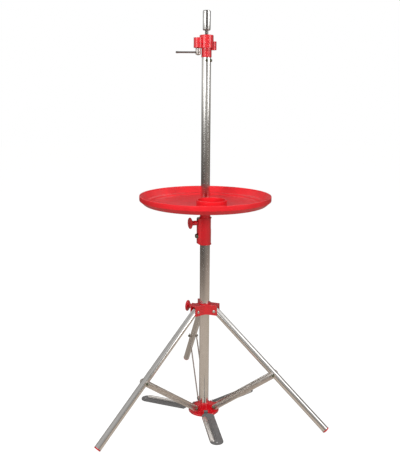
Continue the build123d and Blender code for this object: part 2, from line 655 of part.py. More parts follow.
with BuildPart() as height_clamp:
    with BuildSketch(Plane.XY.offset(CLAMP_BOTTOM)):
        Circle(CLAMP_R)
    extrude(amount=CLAMP_TOP - CLAMP_BOTTOM)
    with BuildSketch(Plane.XY.offset(CLAMP_BOTTOM)):
        Circle(CLAMP_LOWER_R)
    extrude(amount=CLAMP_SPLIT_Z - CLAMP_BOTTOM)
    for low in (CLAMP_BOTTOM, CLAMP_TOP - CLAMP_FLANGE_T):
        with BuildSketch(Plane.XY.offset(low)):
            Circle(CLAMP_FLANGE_R)
        extrude(amount=CLAMP_FLANGE_T)
    with BuildSketch(radial_plane(CLAMP_AZIMUTH)):
        with Locations((CLAMP_BOSS_REACH / 2, (CLAMP_BOTTOM + CLAMP_TOP) / 2)):
            Rectangle(CLAMP_BOSS_REACH, CLAMP_TOP - CLAMP_BOTTOM - 2 * CLAMP_FLANGE_T)
    extrude(amount=CLAMP_BOSS_HALF_W, both=True)
    outward = Axis((0, 0, 0), polar(1, CLAMP_AZIMUTH))
    fillet(height_clamp.faces().sort_by(outward)[-1].edges(), CLAMP_EDGE)
    with BuildSketch(Plane.XY.offset(CLAMP_BOTTOM)):
        Circle(OUTER_R)
    extrude(amount=CLAMP_TOP - CLAMP_BOTTOM, mode=Mode.SUBTRACT)
    for height in (CLAMP_KNOB_Z, CLAMP_BOLT_Z):
        with BuildSketch(facing_plane(CLAMP_AZIMUTH, 0, height)):
            Circle(SCREW_R + RUNNING)
        extrude(amount=2 * CLAMP_BOSS_REACH, mode=Mode.SUBTRACT)
    with BuildSketch(radial_plane(CLAMP_AZIMUTH)):
        with Locations(((CLAMP_NUT_START + CLAMP_BOSS_REACH) / 2, (CLAMP_NUT_BOTTOM + CLAMP_TOP) / 2)):
            Rectangle(CLAMP_BOSS_REACH - CLAMP_NUT_START, CLAMP_TOP - CLAMP_NUT_BOTTOM)
    extrude(amount=CLAMP_NUT_HALF_W, both=True, mode=Mode.SUBTRACT)
save(height_clamp, "height_clamp")

with BuildPart() as clamp_nut:
    with BuildSketch(radial_plane(CLAMP_AZIMUTH)):
        with Locations(((CLAMP_NUT_START + CLAMP_BOSS_REACH) / 2, (CLAMP_NUT_BOTTOM + CLAMP_TOP) / 2)):
            Rectangle(CLAMP_BOSS_REACH - CLAMP_NUT_START, CLAMP_TOP - CLAMP_NUT_BOTTOM)
    extrude(amount=CLAMP_NUT_HALF_W - CLAMP_NUT_GAP, both=True)
    outward = Axis((0, 0, 0), polar(1, CLAMP_AZIMUTH))
    chamfer(clamp_nut.faces().sort_by(outward)[-1].edges(), SCREW_EDGE)
save(clamp_nut, "clamp_nut")

with BuildPart() as clamp_bush:
    with BuildSketch(Plane.XY.offset(OUTER_TOP)):
        Circle(OUTER_R)
        Circle(INNER_R + RUNNING, mode=Mode.SUBTRACT)
    extrude(amount=CLAMP_TOP - OUTER_TOP)
    with BuildSketch(facing_plane(CLAMP_AZIMUTH, 0, CLAMP_KNOB_Z)):
        Circle(SCREW_R + CLEAR)
    extrude(amount=2 * OUTER_R, mode=Mode.SUBTRACT)
save(clamp_bush, "clamp_bush")

with BuildPart() as clamp_bolt:
    with BuildSketch(facing_plane(CLAMP_AZIMUTH, OUTER_R, CLAMP_BOLT_Z)):
        Circle(SCREW_R)
    extrude(amount=CLAMP_BOSS_REACH - OUTER_R)
    with BuildSketch(facing_plane(CLAMP_AZIMUTH, CLAMP_BOSS_REACH, CLAMP_BOLT_Z)):
        Circle(WASHER_R)
    extrude(amount=WASHER_T)
    with BuildSketch(facing_plane(CLAMP_AZIMUTH, CLAMP_BOSS_REACH + WASHER_T, CLAMP_BOLT_Z)):
        RegularPolygon(HEX_HEAD_R, 6)
    extrude(amount=HEX_HEAD_T)
save(clamp_bolt, "clamp_bolt")

knob("clamp_knob", CLAMP_AZIMUTH, CLAMP_KNOB_INNER, CLAMP_KNOB_OUTER, CLAMP_KNOB_Z)
knob_screw("clamp_knob_screw", CLAMP_AZIMUTH, INNER_R + CLEAR, CLAMP_KNOB_INNER, CLAMP_KNOB_Z)

# ---------------------------------------------------------------- tray

with BuildPart() as tray:
    with BuildSketch(Plane.XZ):
        with BuildLine():
            Polyline(
                (TRAY_BORE_R, TRAY_NECK_BOTTOM), (TRAY_NECK_R, TRAY_NECK_BOTTOM),
                (TRAY_NECK_R, TRAY_BASE_Z), *TRAY_OUTSIDE, *TRAY_INSIDE,
                (TRAY_COLLAR_R, TRAY_FLOOR_Z), (TRAY_COLLAR_R, TRAY_COLLAR_Z),
                (TRAY_BORE_R, TRAY_COLLAR_Z), close=True)
        make_face()
    revolve(axis=Axis.Z)
    with BuildSketch(Plane.XY.offset(TRAY_BASE_Z)):
        with Locations((CUP_X, CUP_Y)):
            Circle(CUP_R)
            Circle(CUP_R - CUP_WALL, mode=Mode.SUBTRACT)
        Circle(INNER_R + CUP_WALL, mode=Mode.SUBTRACT)
    extrude(amount=CUP_TOP_Z - TRAY_BASE_Z)
save(tray, "tray")

# ---------------------------------------------------------------- clamping head

LEVER_BOSS = polar(LEVER_BOSS_D, HEAD_BOSS_AZIMUTH)
JAW_BOSS = polar(JAW_BOSS_D, HEAD_BOSS_AZIMUTH + 180)

with BuildPart() as head_body:
    with BuildSketch(Plane.XY.offset(SLEEVE_BOTTOM)):
        Circle(SLEEVE_R)
    extrude(amount=LOWER_JAW_BOTTOM - SLEEVE_BOTTOM)
    chamfer(head_body.edges().group_by(Axis.Z)[0], SCREW_EDGE)
    with BuildSketch(Plane.XY.offset(LOWER_JAW_BOTTOM)):
        Circle(HUB_R)
        with Locations(LEVER_BOSS):
            Circle(LEVER_BOSS_R)
    extrude(amount=PARTING_Z - LOWER_JAW_BOTTOM)
    with BuildSketch(Plane.XY.offset(JAW_BOSS_BOTTOM)):
        with Locations(JAW_BOSS):
            Circle(JAW_BOSS_R)
    extrude(amount=PARTING_Z - JAW_BOSS_BOTTOM)
    with BuildSketch(Plane.XY.offset(SLEEVE_BOTTOM)):
        Circle(INNER_R)
    extrude(amount=INNER_TOP - SLEEVE_BOTTOM, mode=Mode.SUBTRACT)
    with BuildSketch(Plane.XY.offset(HEAD_PLUG_BOTTOM)):
        Circle(HEAD_PLUG_R)
    extrude(amount=INNER_TOP - HEAD_PLUG_BOTTOM)
    with BuildSketch(Plane.XY.offset(SEAT_BOTTOM)):
        Circle(SEAT_R)
    extrude(amount=PARTING_Z - SEAT_BOTTOM, mode=Mode.SUBTRACT)
    with Locations((0, 0, BALL_Z)):
        Sphere(BALL_R + BALL_GAP, mode=Mode.SUBTRACT)
    with BuildSketch(Plane.XY.offset(JAW_BOSS_BOTTOM)):
        with Locations(LEVER_BOSS):
            Circle(LEVER_BOLT_R)
        with Locations(JAW_BOSS):
            Circle(JAW_BOLT_R)
    extrude(amount=PARTING_Z - JAW_BOSS_BOTTOM, mode=Mode.SUBTRACT)
    for azimuth in HEAD_SCREW_AZIMUTHS:
        with BuildSketch(facing_plane(azimuth, 0, HEAD_SCREW_Z)):
            Circle(HEAD_SCREW_R)
        extrude(amount=2 * INNER_R, mode=Mode.SUBTRACT)
save(head_body, "head_body")

with BuildPart() as head_cap:
    jaw_low = PARTING_Z + PARTING_GAP
    with BuildSketch(Plane.XY.offset(jaw_low)):
        Circle(HUB_R)
    extrude(amount=UPPER_JAW_TOP - jaw_low)
    fillet(head_cap.edges().group_by(Axis.Z)[-1], 2 * HUB_EDGE)
    with BuildSketch(Plane.XY.offset(jaw_low)):
        with Locations(LEVER_BOSS):
            Circle(LEVER_BOSS_R)
    extrude(amount=LEVER_BOSS_TOP - jaw_low)
    with BuildSketch(Plane.XY.offset(jaw_low)):
        with Locations(JAW_BOSS):
            Circle(JAW_BOSS_R)
    extrude(amount=JAW_BOSS_TOP - jaw_low)
    with Locations((0, 0, BALL_Z)):
        Sphere(BALL_R + BALL_GAP, mode=Mode.SUBTRACT)
    # The mouth that the neck tilts in.
    with BuildSketch(Plane.XZ):
        with BuildLine():
            Polyline((0, MOUTH_LOW_Z - 2 * HUB_EDGE), (MOUTH_LOW_R, MOUTH_LOW_Z - 2 * HUB_EDGE),
                     (MOUTH_LOW_R, MOUTH_LOW_Z), (MOUTH_HIGH_R, UPPER_JAW_TOP),
                     (0, UPPER_JAW_TOP), close=True)
        make_face()
    revolve(axis=Axis.Z, mode=Mode.SUBTRACT)
    with BuildSketch(Plane.XY.offset(jaw_low)):
        with Locations(LEVER_BOSS):
            Circle(LEVER_BOLT_R)
        with Locations(JAW_BOSS):
            Circle(JAW_BOLT_R)
    extrude(amount=LEVER_BOSS_TOP - jaw_low, mode=Mode.SUBTRACT)
    with BuildSketch(Plane.XY.offset(LEVER_BOSS_TOP - LEVER_BOLT_HEAD_T)):
        with Locations(LEVER_BOSS):
            Circle(LEVER_BOLT_HEAD_R)
    extrude(amount=LEVER_BOLT_HEAD_T, mode=Mode.SUBTRACT)
    with BuildSketch(Plane.XY.offset(JAW_BOSS_TOP - JAW_BOLT_HEAD_T)):
        with Locations(JAW_BOSS):
            Circle(JAW_BOLT_HEAD_R)
    extrude(amount=JAW_BOLT_HEAD_T, mode=Mode.SUBTRACT)
    # The tilt pin's hole, blind at the front and open at the back.
    with BuildSketch(facing_plane(TILT_AZIMUTH, -HUB_R, BALL_Z)):
        Circle(TILT_PIN_R)
    extrude(amount=HUB_R + TILT_PIN_FRONT, mode=Mode.SUBTRACT)
save(head_cap, "head_cap")

with BuildPart() as tilt_pin:
    with BuildSketch(facing_plane(TILT_AZIMUTH, -TILT_PIN_BACK, BALL_Z)):
        Circle(TILT_PIN_R)
    extrude(amount=TILT_PIN_BACK + TILT_PIN_FRONT)
save(tilt_pin, "tilt_pin")

with BuildPart() as ball_seat:
    with BuildSketch(Plane.XY.offset(SEAT_BOTTOM)):
        Circle(SEAT_R)
    extrude(amount=LOWER_JAW_BOTTOM + BASE_T - SEAT_BOTTOM)
    with Locations((0, 0, BALL_Z)):
        Sphere(BALL_R + RUNNING, mode=Mode.SUBTRACT)
save(ball_seat, "ball_seat")


def vertical_bolt(name, centre, bottom, top, shank_r, head_r, head_t):
    """A bolt that hangs from its round head, which is flush with the top."""
    with BuildPart() as bolt:
        with BuildSketch(Plane.XY.offset(bottom)):
            with Locations(centre):
                Circle(shank_r)
        extrude(amount=top - head_t - bottom)
        with BuildSketch(Plane.XY.offset(top - head_t)):
            with Locations(centre):
                Circle(head_r)
        extrude(amount=head_t)
        with BuildSketch(Plane.XY.offset(top - head_t / 2)):
            with Locations(centre):
                RegularPolygon(head_r / 2, 6)
        extrude(amount=head_t / 2, mode=Mode.SUBTRACT)
    save(bolt, name)


vertical_bolt("lever_bolt", LEVER_BOSS, LEVER_BOLT_BOTTOM, LEVER_BOSS_TOP,
              LEVER_BOLT_R, LEVER_BOLT_HEAD_R, LEVER_BOLT_HEAD_T)
vertical_bolt("jaw_bolt", JAW_BOSS, JAW_BOSS_BOTTOM, JAW_BOSS_TOP,
              JAW_BOLT_R, JAW_BOLT_HEAD_R, JAW_BOLT_HEAD_T)

with BuildPart() as head_screws:
    for azimuth in HEAD_SCREW_AZIMUTHS:
        with BuildSketch(facing_plane(azimuth, INNER_R / 2, HEAD_SCREW_Z)):
            Circle(HEAD_SCREW_R)
        extrude(amount=INNER_R / 2)
        with BuildSketch(facing_plane(azimuth, INNER_R, HEAD_SCREW_Z)):
            Circle(HEAD_SCREW_HEAD_R)
        extrude(amount=HEAD_SCREW_HEAD_T)
save(head_screws, "head_screws")

ROD_PLANE = Plane(
    origin=(LEVER_BOSS[0], LEVER_BOSS[1], ROD_Z),
    x_dir=polar(1, LEVER_AZIMUTH + 90), z_dir=polar(1, LEVER_AZIMUTH))

with BuildPart() as lever_barrel:
    with BuildSketch(Plane.XY.offset(BARREL_BOTTOM)):
        with Locations(LEVER_BOSS):
            Circle(BARREL_R)
    extrude(amount=BARREL_TOP - BARREL_BOTTOM)
    levels = lever_barrel.edges().group_by(Axis.Z)
    chamfer(levels[0] + levels[-1], SCREW_EDGE)
    with BuildSketch(Plane.XY.offset(BARREL_BOTTOM)):
        with Locations(LEVER_BOSS):
            Circle(LEVER_BOLT_R + RUNNING)
    extrude(amount=BARREL_TOP - BARREL_BOTTOM, mode=Mode.SUBTRACT)
    with BuildSketch(ROD_PLANE.offset(ROD_START)):
        Circle(ROD_R)
    extrude(amount=BARREL_R, mode=Mode.SUBTRACT)
save(lever_barrel, "lever_barrel")

with BuildPart() as lever_rod:
    with BuildSketch(ROD_PLANE.offset(ROD_START)):
        Circle(ROD_R)
    extrude(amount=ROD_END - ROD_START)
    outward = Axis((LEVER_BOSS[0], LEVER_BOSS[1], ROD_Z), polar(1, LEVER_AZIMUTH))
    fillet(lever_rod.edges().sort_by(outward)[-1], HUB_EDGE)
save(lever_rod, "lever_rod")

# ---------------------------------------------------------------- spindle

with BuildPart() as spindle:
    with Locations((0, 0, BALL_Z)):
        Sphere(BALL_R)
    with BuildSketch(Plane.XY.offset(BALL_Z)):
        Circle(NECK_R)
    extrude(amount=SPINDLE_BOTTOM - BALL_Z)
    with BuildSketch(Plane.XY.offset(SPINDLE_BOTTOM - CORE_FLANGE_T)):
        Circle(CORE_FLANGE_R)
    extrude(amount=CORE_FLANGE_T)
    with BuildSketch(Plane.XY.offset(SPINDLE_BOTTOM)):
        Circle(CORE_R)
    extrude(amount=SPINDLE_TOP + RUNNING - SPINDLE_BOTTOM)
    with BuildSketch(facing_plane(TILT_AZIMUTH, 0, BALL_Z)):
        Circle(TILT_PIN_R + RUNNING)
    extrude(amount=BALL_R, both=True, mode=Mode.SUBTRACT)
save(spindle, "spindle")

with BuildPart() as sleeve_retainer:
    with BuildSketch(Plane.XY.offset(SPINDLE_TOP + RUNNING)):
        Circle(RETAINER_R)
    extrude(amount=RETAINER_T)
    fillet(sleeve_retainer.edges().group_by(Axis.Z)[-1], HUB_EDGE)
save(sleeve_retainer, "sleeve_retainer")

with BuildPart() as spindle_sleeve:
    with BuildSketch(Plane.XY.offset(SPINDLE_BOTTOM + RUNNING)):
        Circle(SPINDLE_R)
    extrude(amount=SPINDLE_TOP - SPINDLE_BOTTOM - RUNNING)
    chamfer(spindle_sleeve.edges().group_by(Axis.Z)[-1], SPINDLE_TOP_CHAMFER)
    chamfer(spindle_sleeve.edges().group_by(Axis.Z)[0], SPINDLE_BOTTOM_CHAMFER)
    with BuildSketch(Plane.XY.offset(SPINDLE_BOTTOM)):
        Circle(SPINDLE_BORE_R)
    extrude(amount=SPINDLE_TOP - SPINDLE_BOTTOM, mode=Mode.SUBTRACT)
    with BuildSketch(facing_plane(SPINDLE_SLOT_AZIMUTH, 0, (SPINDLE_BOTTOM + SPINDLE_TOP) / 2)):
        Rectangle(SPINDLE_SLOT_W, SPINDLE_TOP - SPINDLE_BOTTOM)
    extrude(amount=2 * SPINDLE_R, mode=Mode.SUBTRACT)
save(spindle_sleeve, "spindle_sleeve")
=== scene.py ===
"""Looks for the folding tripod work stand: camera, studio, materials and detailed pieces.

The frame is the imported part's: +Z up the mast, origin on the floor at the base's centre. Blender
works in metres; the outlines and sizes of the pieces are in millimetres and scaled by MM.
"""
import bpy
import bmesh
import json
import math
from mathutils import Matrix, Vector


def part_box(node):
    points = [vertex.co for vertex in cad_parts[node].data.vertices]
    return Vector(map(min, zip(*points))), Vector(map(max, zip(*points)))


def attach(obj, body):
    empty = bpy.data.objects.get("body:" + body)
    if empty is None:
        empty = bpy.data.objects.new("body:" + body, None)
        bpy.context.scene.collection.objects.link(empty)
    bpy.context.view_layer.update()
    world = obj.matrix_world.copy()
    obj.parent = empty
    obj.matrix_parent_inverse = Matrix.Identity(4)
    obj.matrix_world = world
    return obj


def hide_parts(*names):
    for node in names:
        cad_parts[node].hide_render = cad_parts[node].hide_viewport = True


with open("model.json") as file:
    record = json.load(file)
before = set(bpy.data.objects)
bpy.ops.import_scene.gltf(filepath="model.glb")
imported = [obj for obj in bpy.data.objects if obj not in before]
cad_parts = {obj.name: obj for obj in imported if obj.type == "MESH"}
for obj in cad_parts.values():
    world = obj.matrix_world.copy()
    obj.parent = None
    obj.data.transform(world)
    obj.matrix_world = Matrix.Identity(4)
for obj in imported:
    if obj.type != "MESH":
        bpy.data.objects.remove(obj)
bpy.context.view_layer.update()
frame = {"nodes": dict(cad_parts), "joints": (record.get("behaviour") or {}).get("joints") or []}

MM = 0.001
UP = Vector((0, 0, 1))
ROUND = 360
QUARTER = 90


def polar(radius, azimuth, height=0.0):
    """The point at this radius, azimuth in degrees and height."""
    turn = math.radians(azimuth)
    return Vector((radius * math.cos(turn), radius * math.sin(turn), height))


# ---------------------------------------------------------------- camera and studio

VIEW_AZIMUTH = 80.56            # the way the camera looks, in degrees about the mast
VIEW_PITCH = 12.03              # degrees below level
VIEW_ROLL = 0.36
CAMERA_PLACE = Vector((-0.3315, -1.8953, 1.036))
FOCAL_IN_HEIGHTS = 619 / 457    # focal length over the image's height
SENSOR = 36.0
CLIP = (0.05, 100)              # metres from the camera
FLOOR_HALF = 12.0
FLOOR_BASE = (0.2, 0.2, 0.2, 1)
FLOOR_GLOW = 0.93
CAMERA_AZIMUTH = VIEW_AZIMUTH + 180


def make_camera():
    data = bpy.data.cameras.new("camera")
    data.sensor_width = SENSOR
    data.lens = FOCAL_IN_HEIGHTS * SENSOR
    data.clip_start, data.clip_end = CLIP
    camera = bpy.data.objects.new("camera", data)
    bpy.context.scene.collection.objects.link(camera)
    turn = Matrix.Rotation(math.radians(VIEW_AZIMUTH - 90), 4, "Z")
    pitch = Matrix.Rotation(math.radians(90 - VIEW_PITCH), 4, "X")
    roll = Matrix.Rotation(math.radians(VIEW_ROLL), 4, "Z")
    camera.matrix_world = Matrix.Translation(CAMERA_PLACE) @ turn @ pitch @ roll
    bpy.context.scene.camera = camera


def soft_box(name, azimuth_off, elevation, distance, width, height, radiance, target_z):
    """An area light seen from the mast at this angle from the camera's side, turned to face it."""
    data = bpy.data.lights.new(name, "AREA")
    data.shape = "RECTANGLE"
    data.size = width
    data.size_y = height
    data.energy = radiance * math.pi * width * height
    light = bpy.data.objects.new(name, data)
    bpy.context.scene.collection.objects.link(light)
    rise = math.radians(elevation)
    target = UP * target_z
    place = target + polar(distance * math.cos(rise), CAMERA_AZIMUTH + azimuth_off, distance * math.sin(rise))
    light.location = place
    light.rotation_mode = "QUATERNION"
    light.rotation_quaternion = (target - place).to_track_quat("-Z", "Y")
    light.visible_glossy = False


def make_floor():
    """A plain pale floor. Reflections and bounced light see the studio's own bands in its place."""
    corners = [(x * FLOOR_HALF, y * FLOOR_HALF, 0) for x, y in ((-1, -1), (1, -1), (1, 1), (-1, 1))]
    mesh = bpy.data.meshes.new("floor")
    mesh.from_pydata(corners, [], [(0, 1, 2, 3)])
    floor = bpy.data.objects.new("floor", mesh)
    bpy.context.scene.collection.objects.link(floor)
    mat = bpy.data.materials.new("floor_paper")
    mat.use_nodes = True
    bsdf = mat.node_tree.nodes["Principled BSDF"]
    bsdf.inputs["Base Color"].default_value = FLOOR_BASE
    bsdf.inputs["Roughness"].default_value = 1.0
    bsdf.inputs["Specular IOR Level"].default_value = 0.0
    bsdf.inputs["Emission Color"].default_value = (1, 1, 1, 1)
    bsdf.inputs["Emission Strength"].default_value = FLOOR_GLOW
    mesh.materials.append(mat)
    floor.visible_glossy = False
    floor.visible_diffuse = False


# What reflections see at each elevation in degrees, towards the left and towards the right of the
# camera: beige floor, dark horizon, then the white studio, with a dark gap low on the right.
LEFT_BANDS = (
    (-90, (0.56, 0.49, 0.43)), (-25, (0.54, 0.47, 0.41)), (-20, (0.56, 0.48, 0.42)),
    (-14, (0.26, 0.22, 0.19)), (-9.5, (0.085, 0.072, 0.066)), (-7, (0.08, 0.073, 0.067)),
    (-3, (0.19, 0.18, 0.17)), (0.7, (0.24, 0.235, 0.225)), (2.5, (0.55, 0.55, 0.54)),
    (6, (0.80, 0.80, 0.79)), (14, (0.46, 0.46, 0.46)), (46, (0.48, 0.48, 0.48)),
    (52, (0.42, 0.42, 0.42)), (90, (0.45, 0.45, 0.45)),
)
RIGHT_BANDS = (
    (-90, (0.56, 0.49, 0.43)), (-25, (0.54, 0.47, 0.41)), (-20, (0.52, 0.45, 0.38)),
    (-14, (0.46, 0.38, 0.33)), (-9.5, (0.22, 0.185, 0.165)), (-5, (0.19, 0.172, 0.155)),
    (0.7, (0.24, 0.225, 0.21)), (2.5, (0.50, 0.49, 0.47)), (5, (0.34, 0.34, 0.33)),
    (10, (0.26, 0.26, 0.26)), (32, (0.30, 0.30, 0.30)), (37, (0.85, 0.85, 0.85)),
    (90, (0.55, 0.55, 0.55)),
)
# Sine of the angle from the camera's side, where the left's bands begin to turn into the right's
# and where they have.
SIDES_BLEND = (-0.55, 0.75)
# Soft lights as reflections see them: degrees from the camera's side, half width, lowest and
# highest elevation, radiance. The area lights themselves are hidden from reflections.
LIGHT_LOBES = (
    (-50, 24, 2.0, 16, 1.6), (60, 22, 2.5, 50, 2.0), (180, 75, 30, 60, 1.1),
    (-36, 16, 3.0, 16, 3.2), (58, 15, 3.0, 16, 3.2),
)
LOBE_EDGE = 3.0                 # degrees over which a lobe fades at its top and bottom
# Behind the object: degrees from the camera's side, half width, and how much light is kept there.
BEHIND_STRIPS = ((-150, 50, 0.6), (160, 42, 0.75))
STRIP_CORE = 0.4                # the share of a strip's half width that is at its full darkness
FILL_COLOUR = (1.0, 0.97, 0.94, 1)
FILL_STRENGTH = 0.36            # even light on everything that isn't a mirror
# Area lights: degrees from the camera's side, elevation, distance, width, height, radiance, and the
# height on the mast that they face.
SOFT_BOXES = {
    "left_box": (-24, 23, 2.4, 0.6, 0.6, 21.0, 0.30),
    "right_box": (30, 23, 2.4, 0.6, 0.6, 18.0, 0.30),
    "top_box": (-10, 66, 2.4, 1.0, 1.0, 7.5, 0.5),
}


def math_node(tree, operation, *values):
    node = tree.nodes.new("ShaderNodeMath")
    node.operation = operation
    for socket, value in zip(node.inputs, values):
        if isinstance(value, (int, float)):
            socket.default_value = value
        else:
            tree.links.new(value, socket)
    return node.outputs[0]


def smooth_range(tree, value, start, end, low, high):
    node = tree.nodes.new("ShaderNodeMapRange")
    node.interpolation_type = "SMOOTHSTEP"
    for name, number in (("From Min", start), ("From Max", end), ("To Min", low), ("To Max", high)):
        node.inputs[name].default_value = number
    tree.links.new(value, node.inputs["Value"])
    return node.outputs["Result"]


def bands_node(tree, share, bands):
    """A colour ramp over elevation, whose share runs from 0 straight down to 1 straight up."""
    node = tree.nodes.new("ShaderNodeValToRGB")
    ramp = node.color_ramp
    while len(ramp.elements) > 1:
        ramp.elements.remove(ramp.elements[-1])
    for place, (degrees, colour) in enumerate(bands):
        at = (degrees + QUARTER) / (2 * QUARTER)
        stop = ramp.elements[0] if place == 0 else ramp.elements.new(at)
        stop.position = at
        stop.color = (*colour, 1)
    tree.links.new(share, node.inputs[0])
    return node.outputs["Color"]


def near_azimuth(tree, off, azimuth_off):
    """The cosine of the angle between a direction and one at this angle from the camera's side."""
    return math_node(tree, "COSINE", math_node(tree, "SUBTRACT", off, math.radians(azimuth_off)))


def behind_node(tree, off):
    """The share of the bands' light that is kept, less in the strips behind the object."""
    kept = 1.0
    for azimuth_off, half_width, keep in BEHIND_STRIPS:
        near = near_azimuth(tree, off, azimuth_off)
        inner, outer = math.cos(math.radians(half_width * STRIP_CORE)), math.cos(math.radians(half_width))
        kept = math_node(tree, "MULTIPLY", kept, smooth_range(tree, near, outer, inner, 1, keep))
    return kept


def lobes_node(tree, off, elevation):
    """The soft lights' radiance in a direction."""
    lobes = 0.0
    for azimuth_off, half_width, lowest, highest, radiance in LIGHT_LOBES:
        near = near_azimuth(tree, off, azimuth_off)
        across = smooth_range(tree, near, math.cos(math.radians(half_width)), 1, 0, radiance)
        from_below = smooth_range(tree, elevation, lowest, lowest + LOBE_EDGE, 0, 1)
        from_above = smooth_range(tree, elevation, highest - LOBE_EDGE, highest, 1, 0)
        lobe = math_node(tree, "MULTIPLY", across, math_node(tree, "MULTIPLY", from_below, from_above))
        lobes = math_node(tree, "ADD", lobes, lobe)
    return lobes


def make_world():
    """White to the camera, the bands and lobes to reflections, an even fill to all other light."""
    world = bpy.data.worlds.new("studio")
    bpy.context.scene.world = world
    world.use_nodes = True
    tree = world.node_tree
    tree.nodes.clear()
    new, link = tree.nodes.new, tree.links.new
    place = new("ShaderNodeTexCoord")
    split = new("ShaderNodeSeparateXYZ")
    link(place.outputs["Generated"], split.inputs[0])
    rise = math_node(tree, "ARCSINE", split.outputs["Z"])
    share = math_node(tree, "MULTIPLY_ADD", rise, 1 / math.pi, 0.5)
    turn = math_node(tree, "ARCTAN2", split.outputs["Y"], split.outputs["X"])
    off = math_node(tree, "SUBTRACT", turn, math.radians(CAMERA_AZIMUTH))
    rightward = smooth_range(tree, math_node(tree, "SINE", off), *SIDES_BLEND, 0, 1)
    sides = new("ShaderNodeMix")
    sides.data_type = "RGBA"
    link(rightward, sides.inputs["Factor"])
    link(bands_node(tree, share, LEFT_BANDS), sides.inputs["A"])
    link(bands_node(tree, share, RIGHT_BANDS), sides.inputs["B"])
    shade = new("ShaderNodeVectorMath")
    shade.operation = "SCALE"
    link(sides.outputs["Result"], shade.inputs[0])
    link(behind_node(tree, off), shade.inputs["Scale"])
    lit = new("ShaderNodeVectorMath")
    lit.operation = "ADD"
    link(shade.outputs[0], lit.inputs[0])
    link(lobes_node(tree, off, math_node(tree, "DEGREES", rise)), lit.inputs[1])
    seen = new("ShaderNodeBackground")
    link(lit.outputs[0], seen.inputs["Color"])
    plain = new("ShaderNodeBackground")
    plain.inputs["Color"].default_value = (1, 1, 1, 1)
    fill = new("ShaderNodeBackground")
    fill.inputs["Color"].default_value = FILL_COLOUR
    fill.inputs["Strength"].default_value = FILL_STRENGTH
    path = new("ShaderNodeLightPath")
    glossy = new("ShaderNodeMixShader")
    link(path.outputs["Is Glossy Ray"], glossy.inputs[0])
    link(fill.outputs[0], glossy.inputs[1])
    link(seen.outputs[0], glossy.inputs[2])
    camera = new("ShaderNodeMixShader")
    link(path.outputs["Is Camera Ray"], camera.inputs[0])
    link(glossy.outputs[0], camera.inputs[1])
    link(plain.outputs[0], camera.inputs[2])
    output = new("ShaderNodeOutputWorld")
    link(camera.outputs[0], output.inputs["Surface"])


make_camera()
make_floor()
make_world()
for name, box in SOFT_BOXES.items():
    soft_box(name, *box)
bpy.context.scene.view_settings.view_transform = "Standard"

# ---------------------------------------------------------------- materials


def new_material(name):
    mat = bpy.data.materials.new(name)
    mat.use_nodes = True
    return mat, mat.node_tree, mat.node_tree.nodes["Principled BSDF"]


def noise(tree, scale, detail, stretch=(1, 1, 1)):
    """Noise in the piece's own coordinates, scale in features per metre."""
    place = tree.nodes.new("ShaderNodeTexCoord")
    mapping = tree.nodes.new("ShaderNodeMapping")
    mapping.inputs["Scale"].default_value = stretch
    tree.links.new(place.outputs["Object"], mapping.inputs["Vector"])
    node = tree.nodes.new("ShaderNodeTexNoise")
    node.inputs["Scale"].default_value = scale
    node.inputs["Detail"].default_value = detail
    tree.links.new(mapping.outputs[0], node.inputs["Vector"])
    return node.outputs["Fac"]


def spread(tree, value, low, high, start=0.35, end=0.65):
    """The value from start to end, mapped on to low to high."""
    node = tree.nodes.new("ShaderNodeMapRange")
    node.inputs["From Min"].default_value = start
    node.inputs["From Max"].default_value = end
    node.inputs["To Min"].default_value = low
    node.inputs["To Max"].default_value = high
    tree.links.new(value, node.inputs["Value"])
    return node.outputs["Result"]


def between(tree, value, low, high):
    """A colour between two, by the value."""
    node = tree.nodes.new("ShaderNodeMix")
    node.data_type = "RGBA"
    node.inputs["A"].default_value = (*low, 1)
    node.inputs["B"].default_value = (*high, 1)
    tree.links.new(value, node.inputs["Factor"])
    return node.outputs["Result"]


def bump(tree, height, distance, strength, below=None):
    """A normal from the height, its relief at most the distance in metres, on top of another normal."""
    node = tree.nodes.new("ShaderNodeBump")
    node.inputs["Strength"].default_value = strength
    node.inputs["Distance"].default_value = distance
    tree.links.new(height, node.inputs["Height"])
    if below is not None:
        tree.links.new(below, node.inputs["Normal"])
    return node.outputs["Normal"]


def plastic(name, base, deep, rough_low, rough_high, grain, ior=1.5):
    """Moulded plastic: flow marks, a fine grain and a gloss that varies a little."""
    flow_scale, gloss_scale, wave_scale, grain_scale = 22, 90, 60, 2200
    mat, tree, bsdf = new_material(name)
    flow = spread(tree, noise(tree, flow_scale, 4, (1, 1, 0.6)), 0, 1, 0.3, 0.7)
    tree.links.new(between(tree, flow, deep, base), bsdf.inputs["Base Color"])
    gloss = spread(tree, noise(tree, gloss_scale, 3), rough_low, rough_high)
    tree.links.new(gloss, bsdf.inputs["Roughness"])
    bsdf.inputs["IOR"].default_value = ior
    broad = bump(tree, noise(tree, wave_scale, 2), 0.08 * MM, 0.25)
    fine = bump(tree, noise(tree, grain_scale, 2), 0.006 * MM, grain, broad)
    tree.links.new(fine, bsdf.inputs["Normal"])
    return mat


def metal(name, base, tint, rough_low, rough_high, stretch):
    """Bare or plated metal with drawn lines along one axis and slight staining."""
    stain_scale, line_scale = 35, 900
    mat, tree, bsdf = new_material(name)
    bsdf.inputs["Metallic"].default_value = 1.0
    stain = spread(tree, noise(tree, stain_scale, 4), 0, 1, 0.35, 0.7)
    tree.links.new(between(tree, stain, base, tint), bsdf.inputs["Base Color"])
    lines = noise(tree, line_scale, 3, stretch)
    tree.links.new(spread(tree, lines, rough_low, rough_high), bsdf.inputs["Roughness"])
    tree.links.new(bump(tree, lines, 0.0003 * MM, 0.5), bsdf.inputs["Normal"])
    return mat


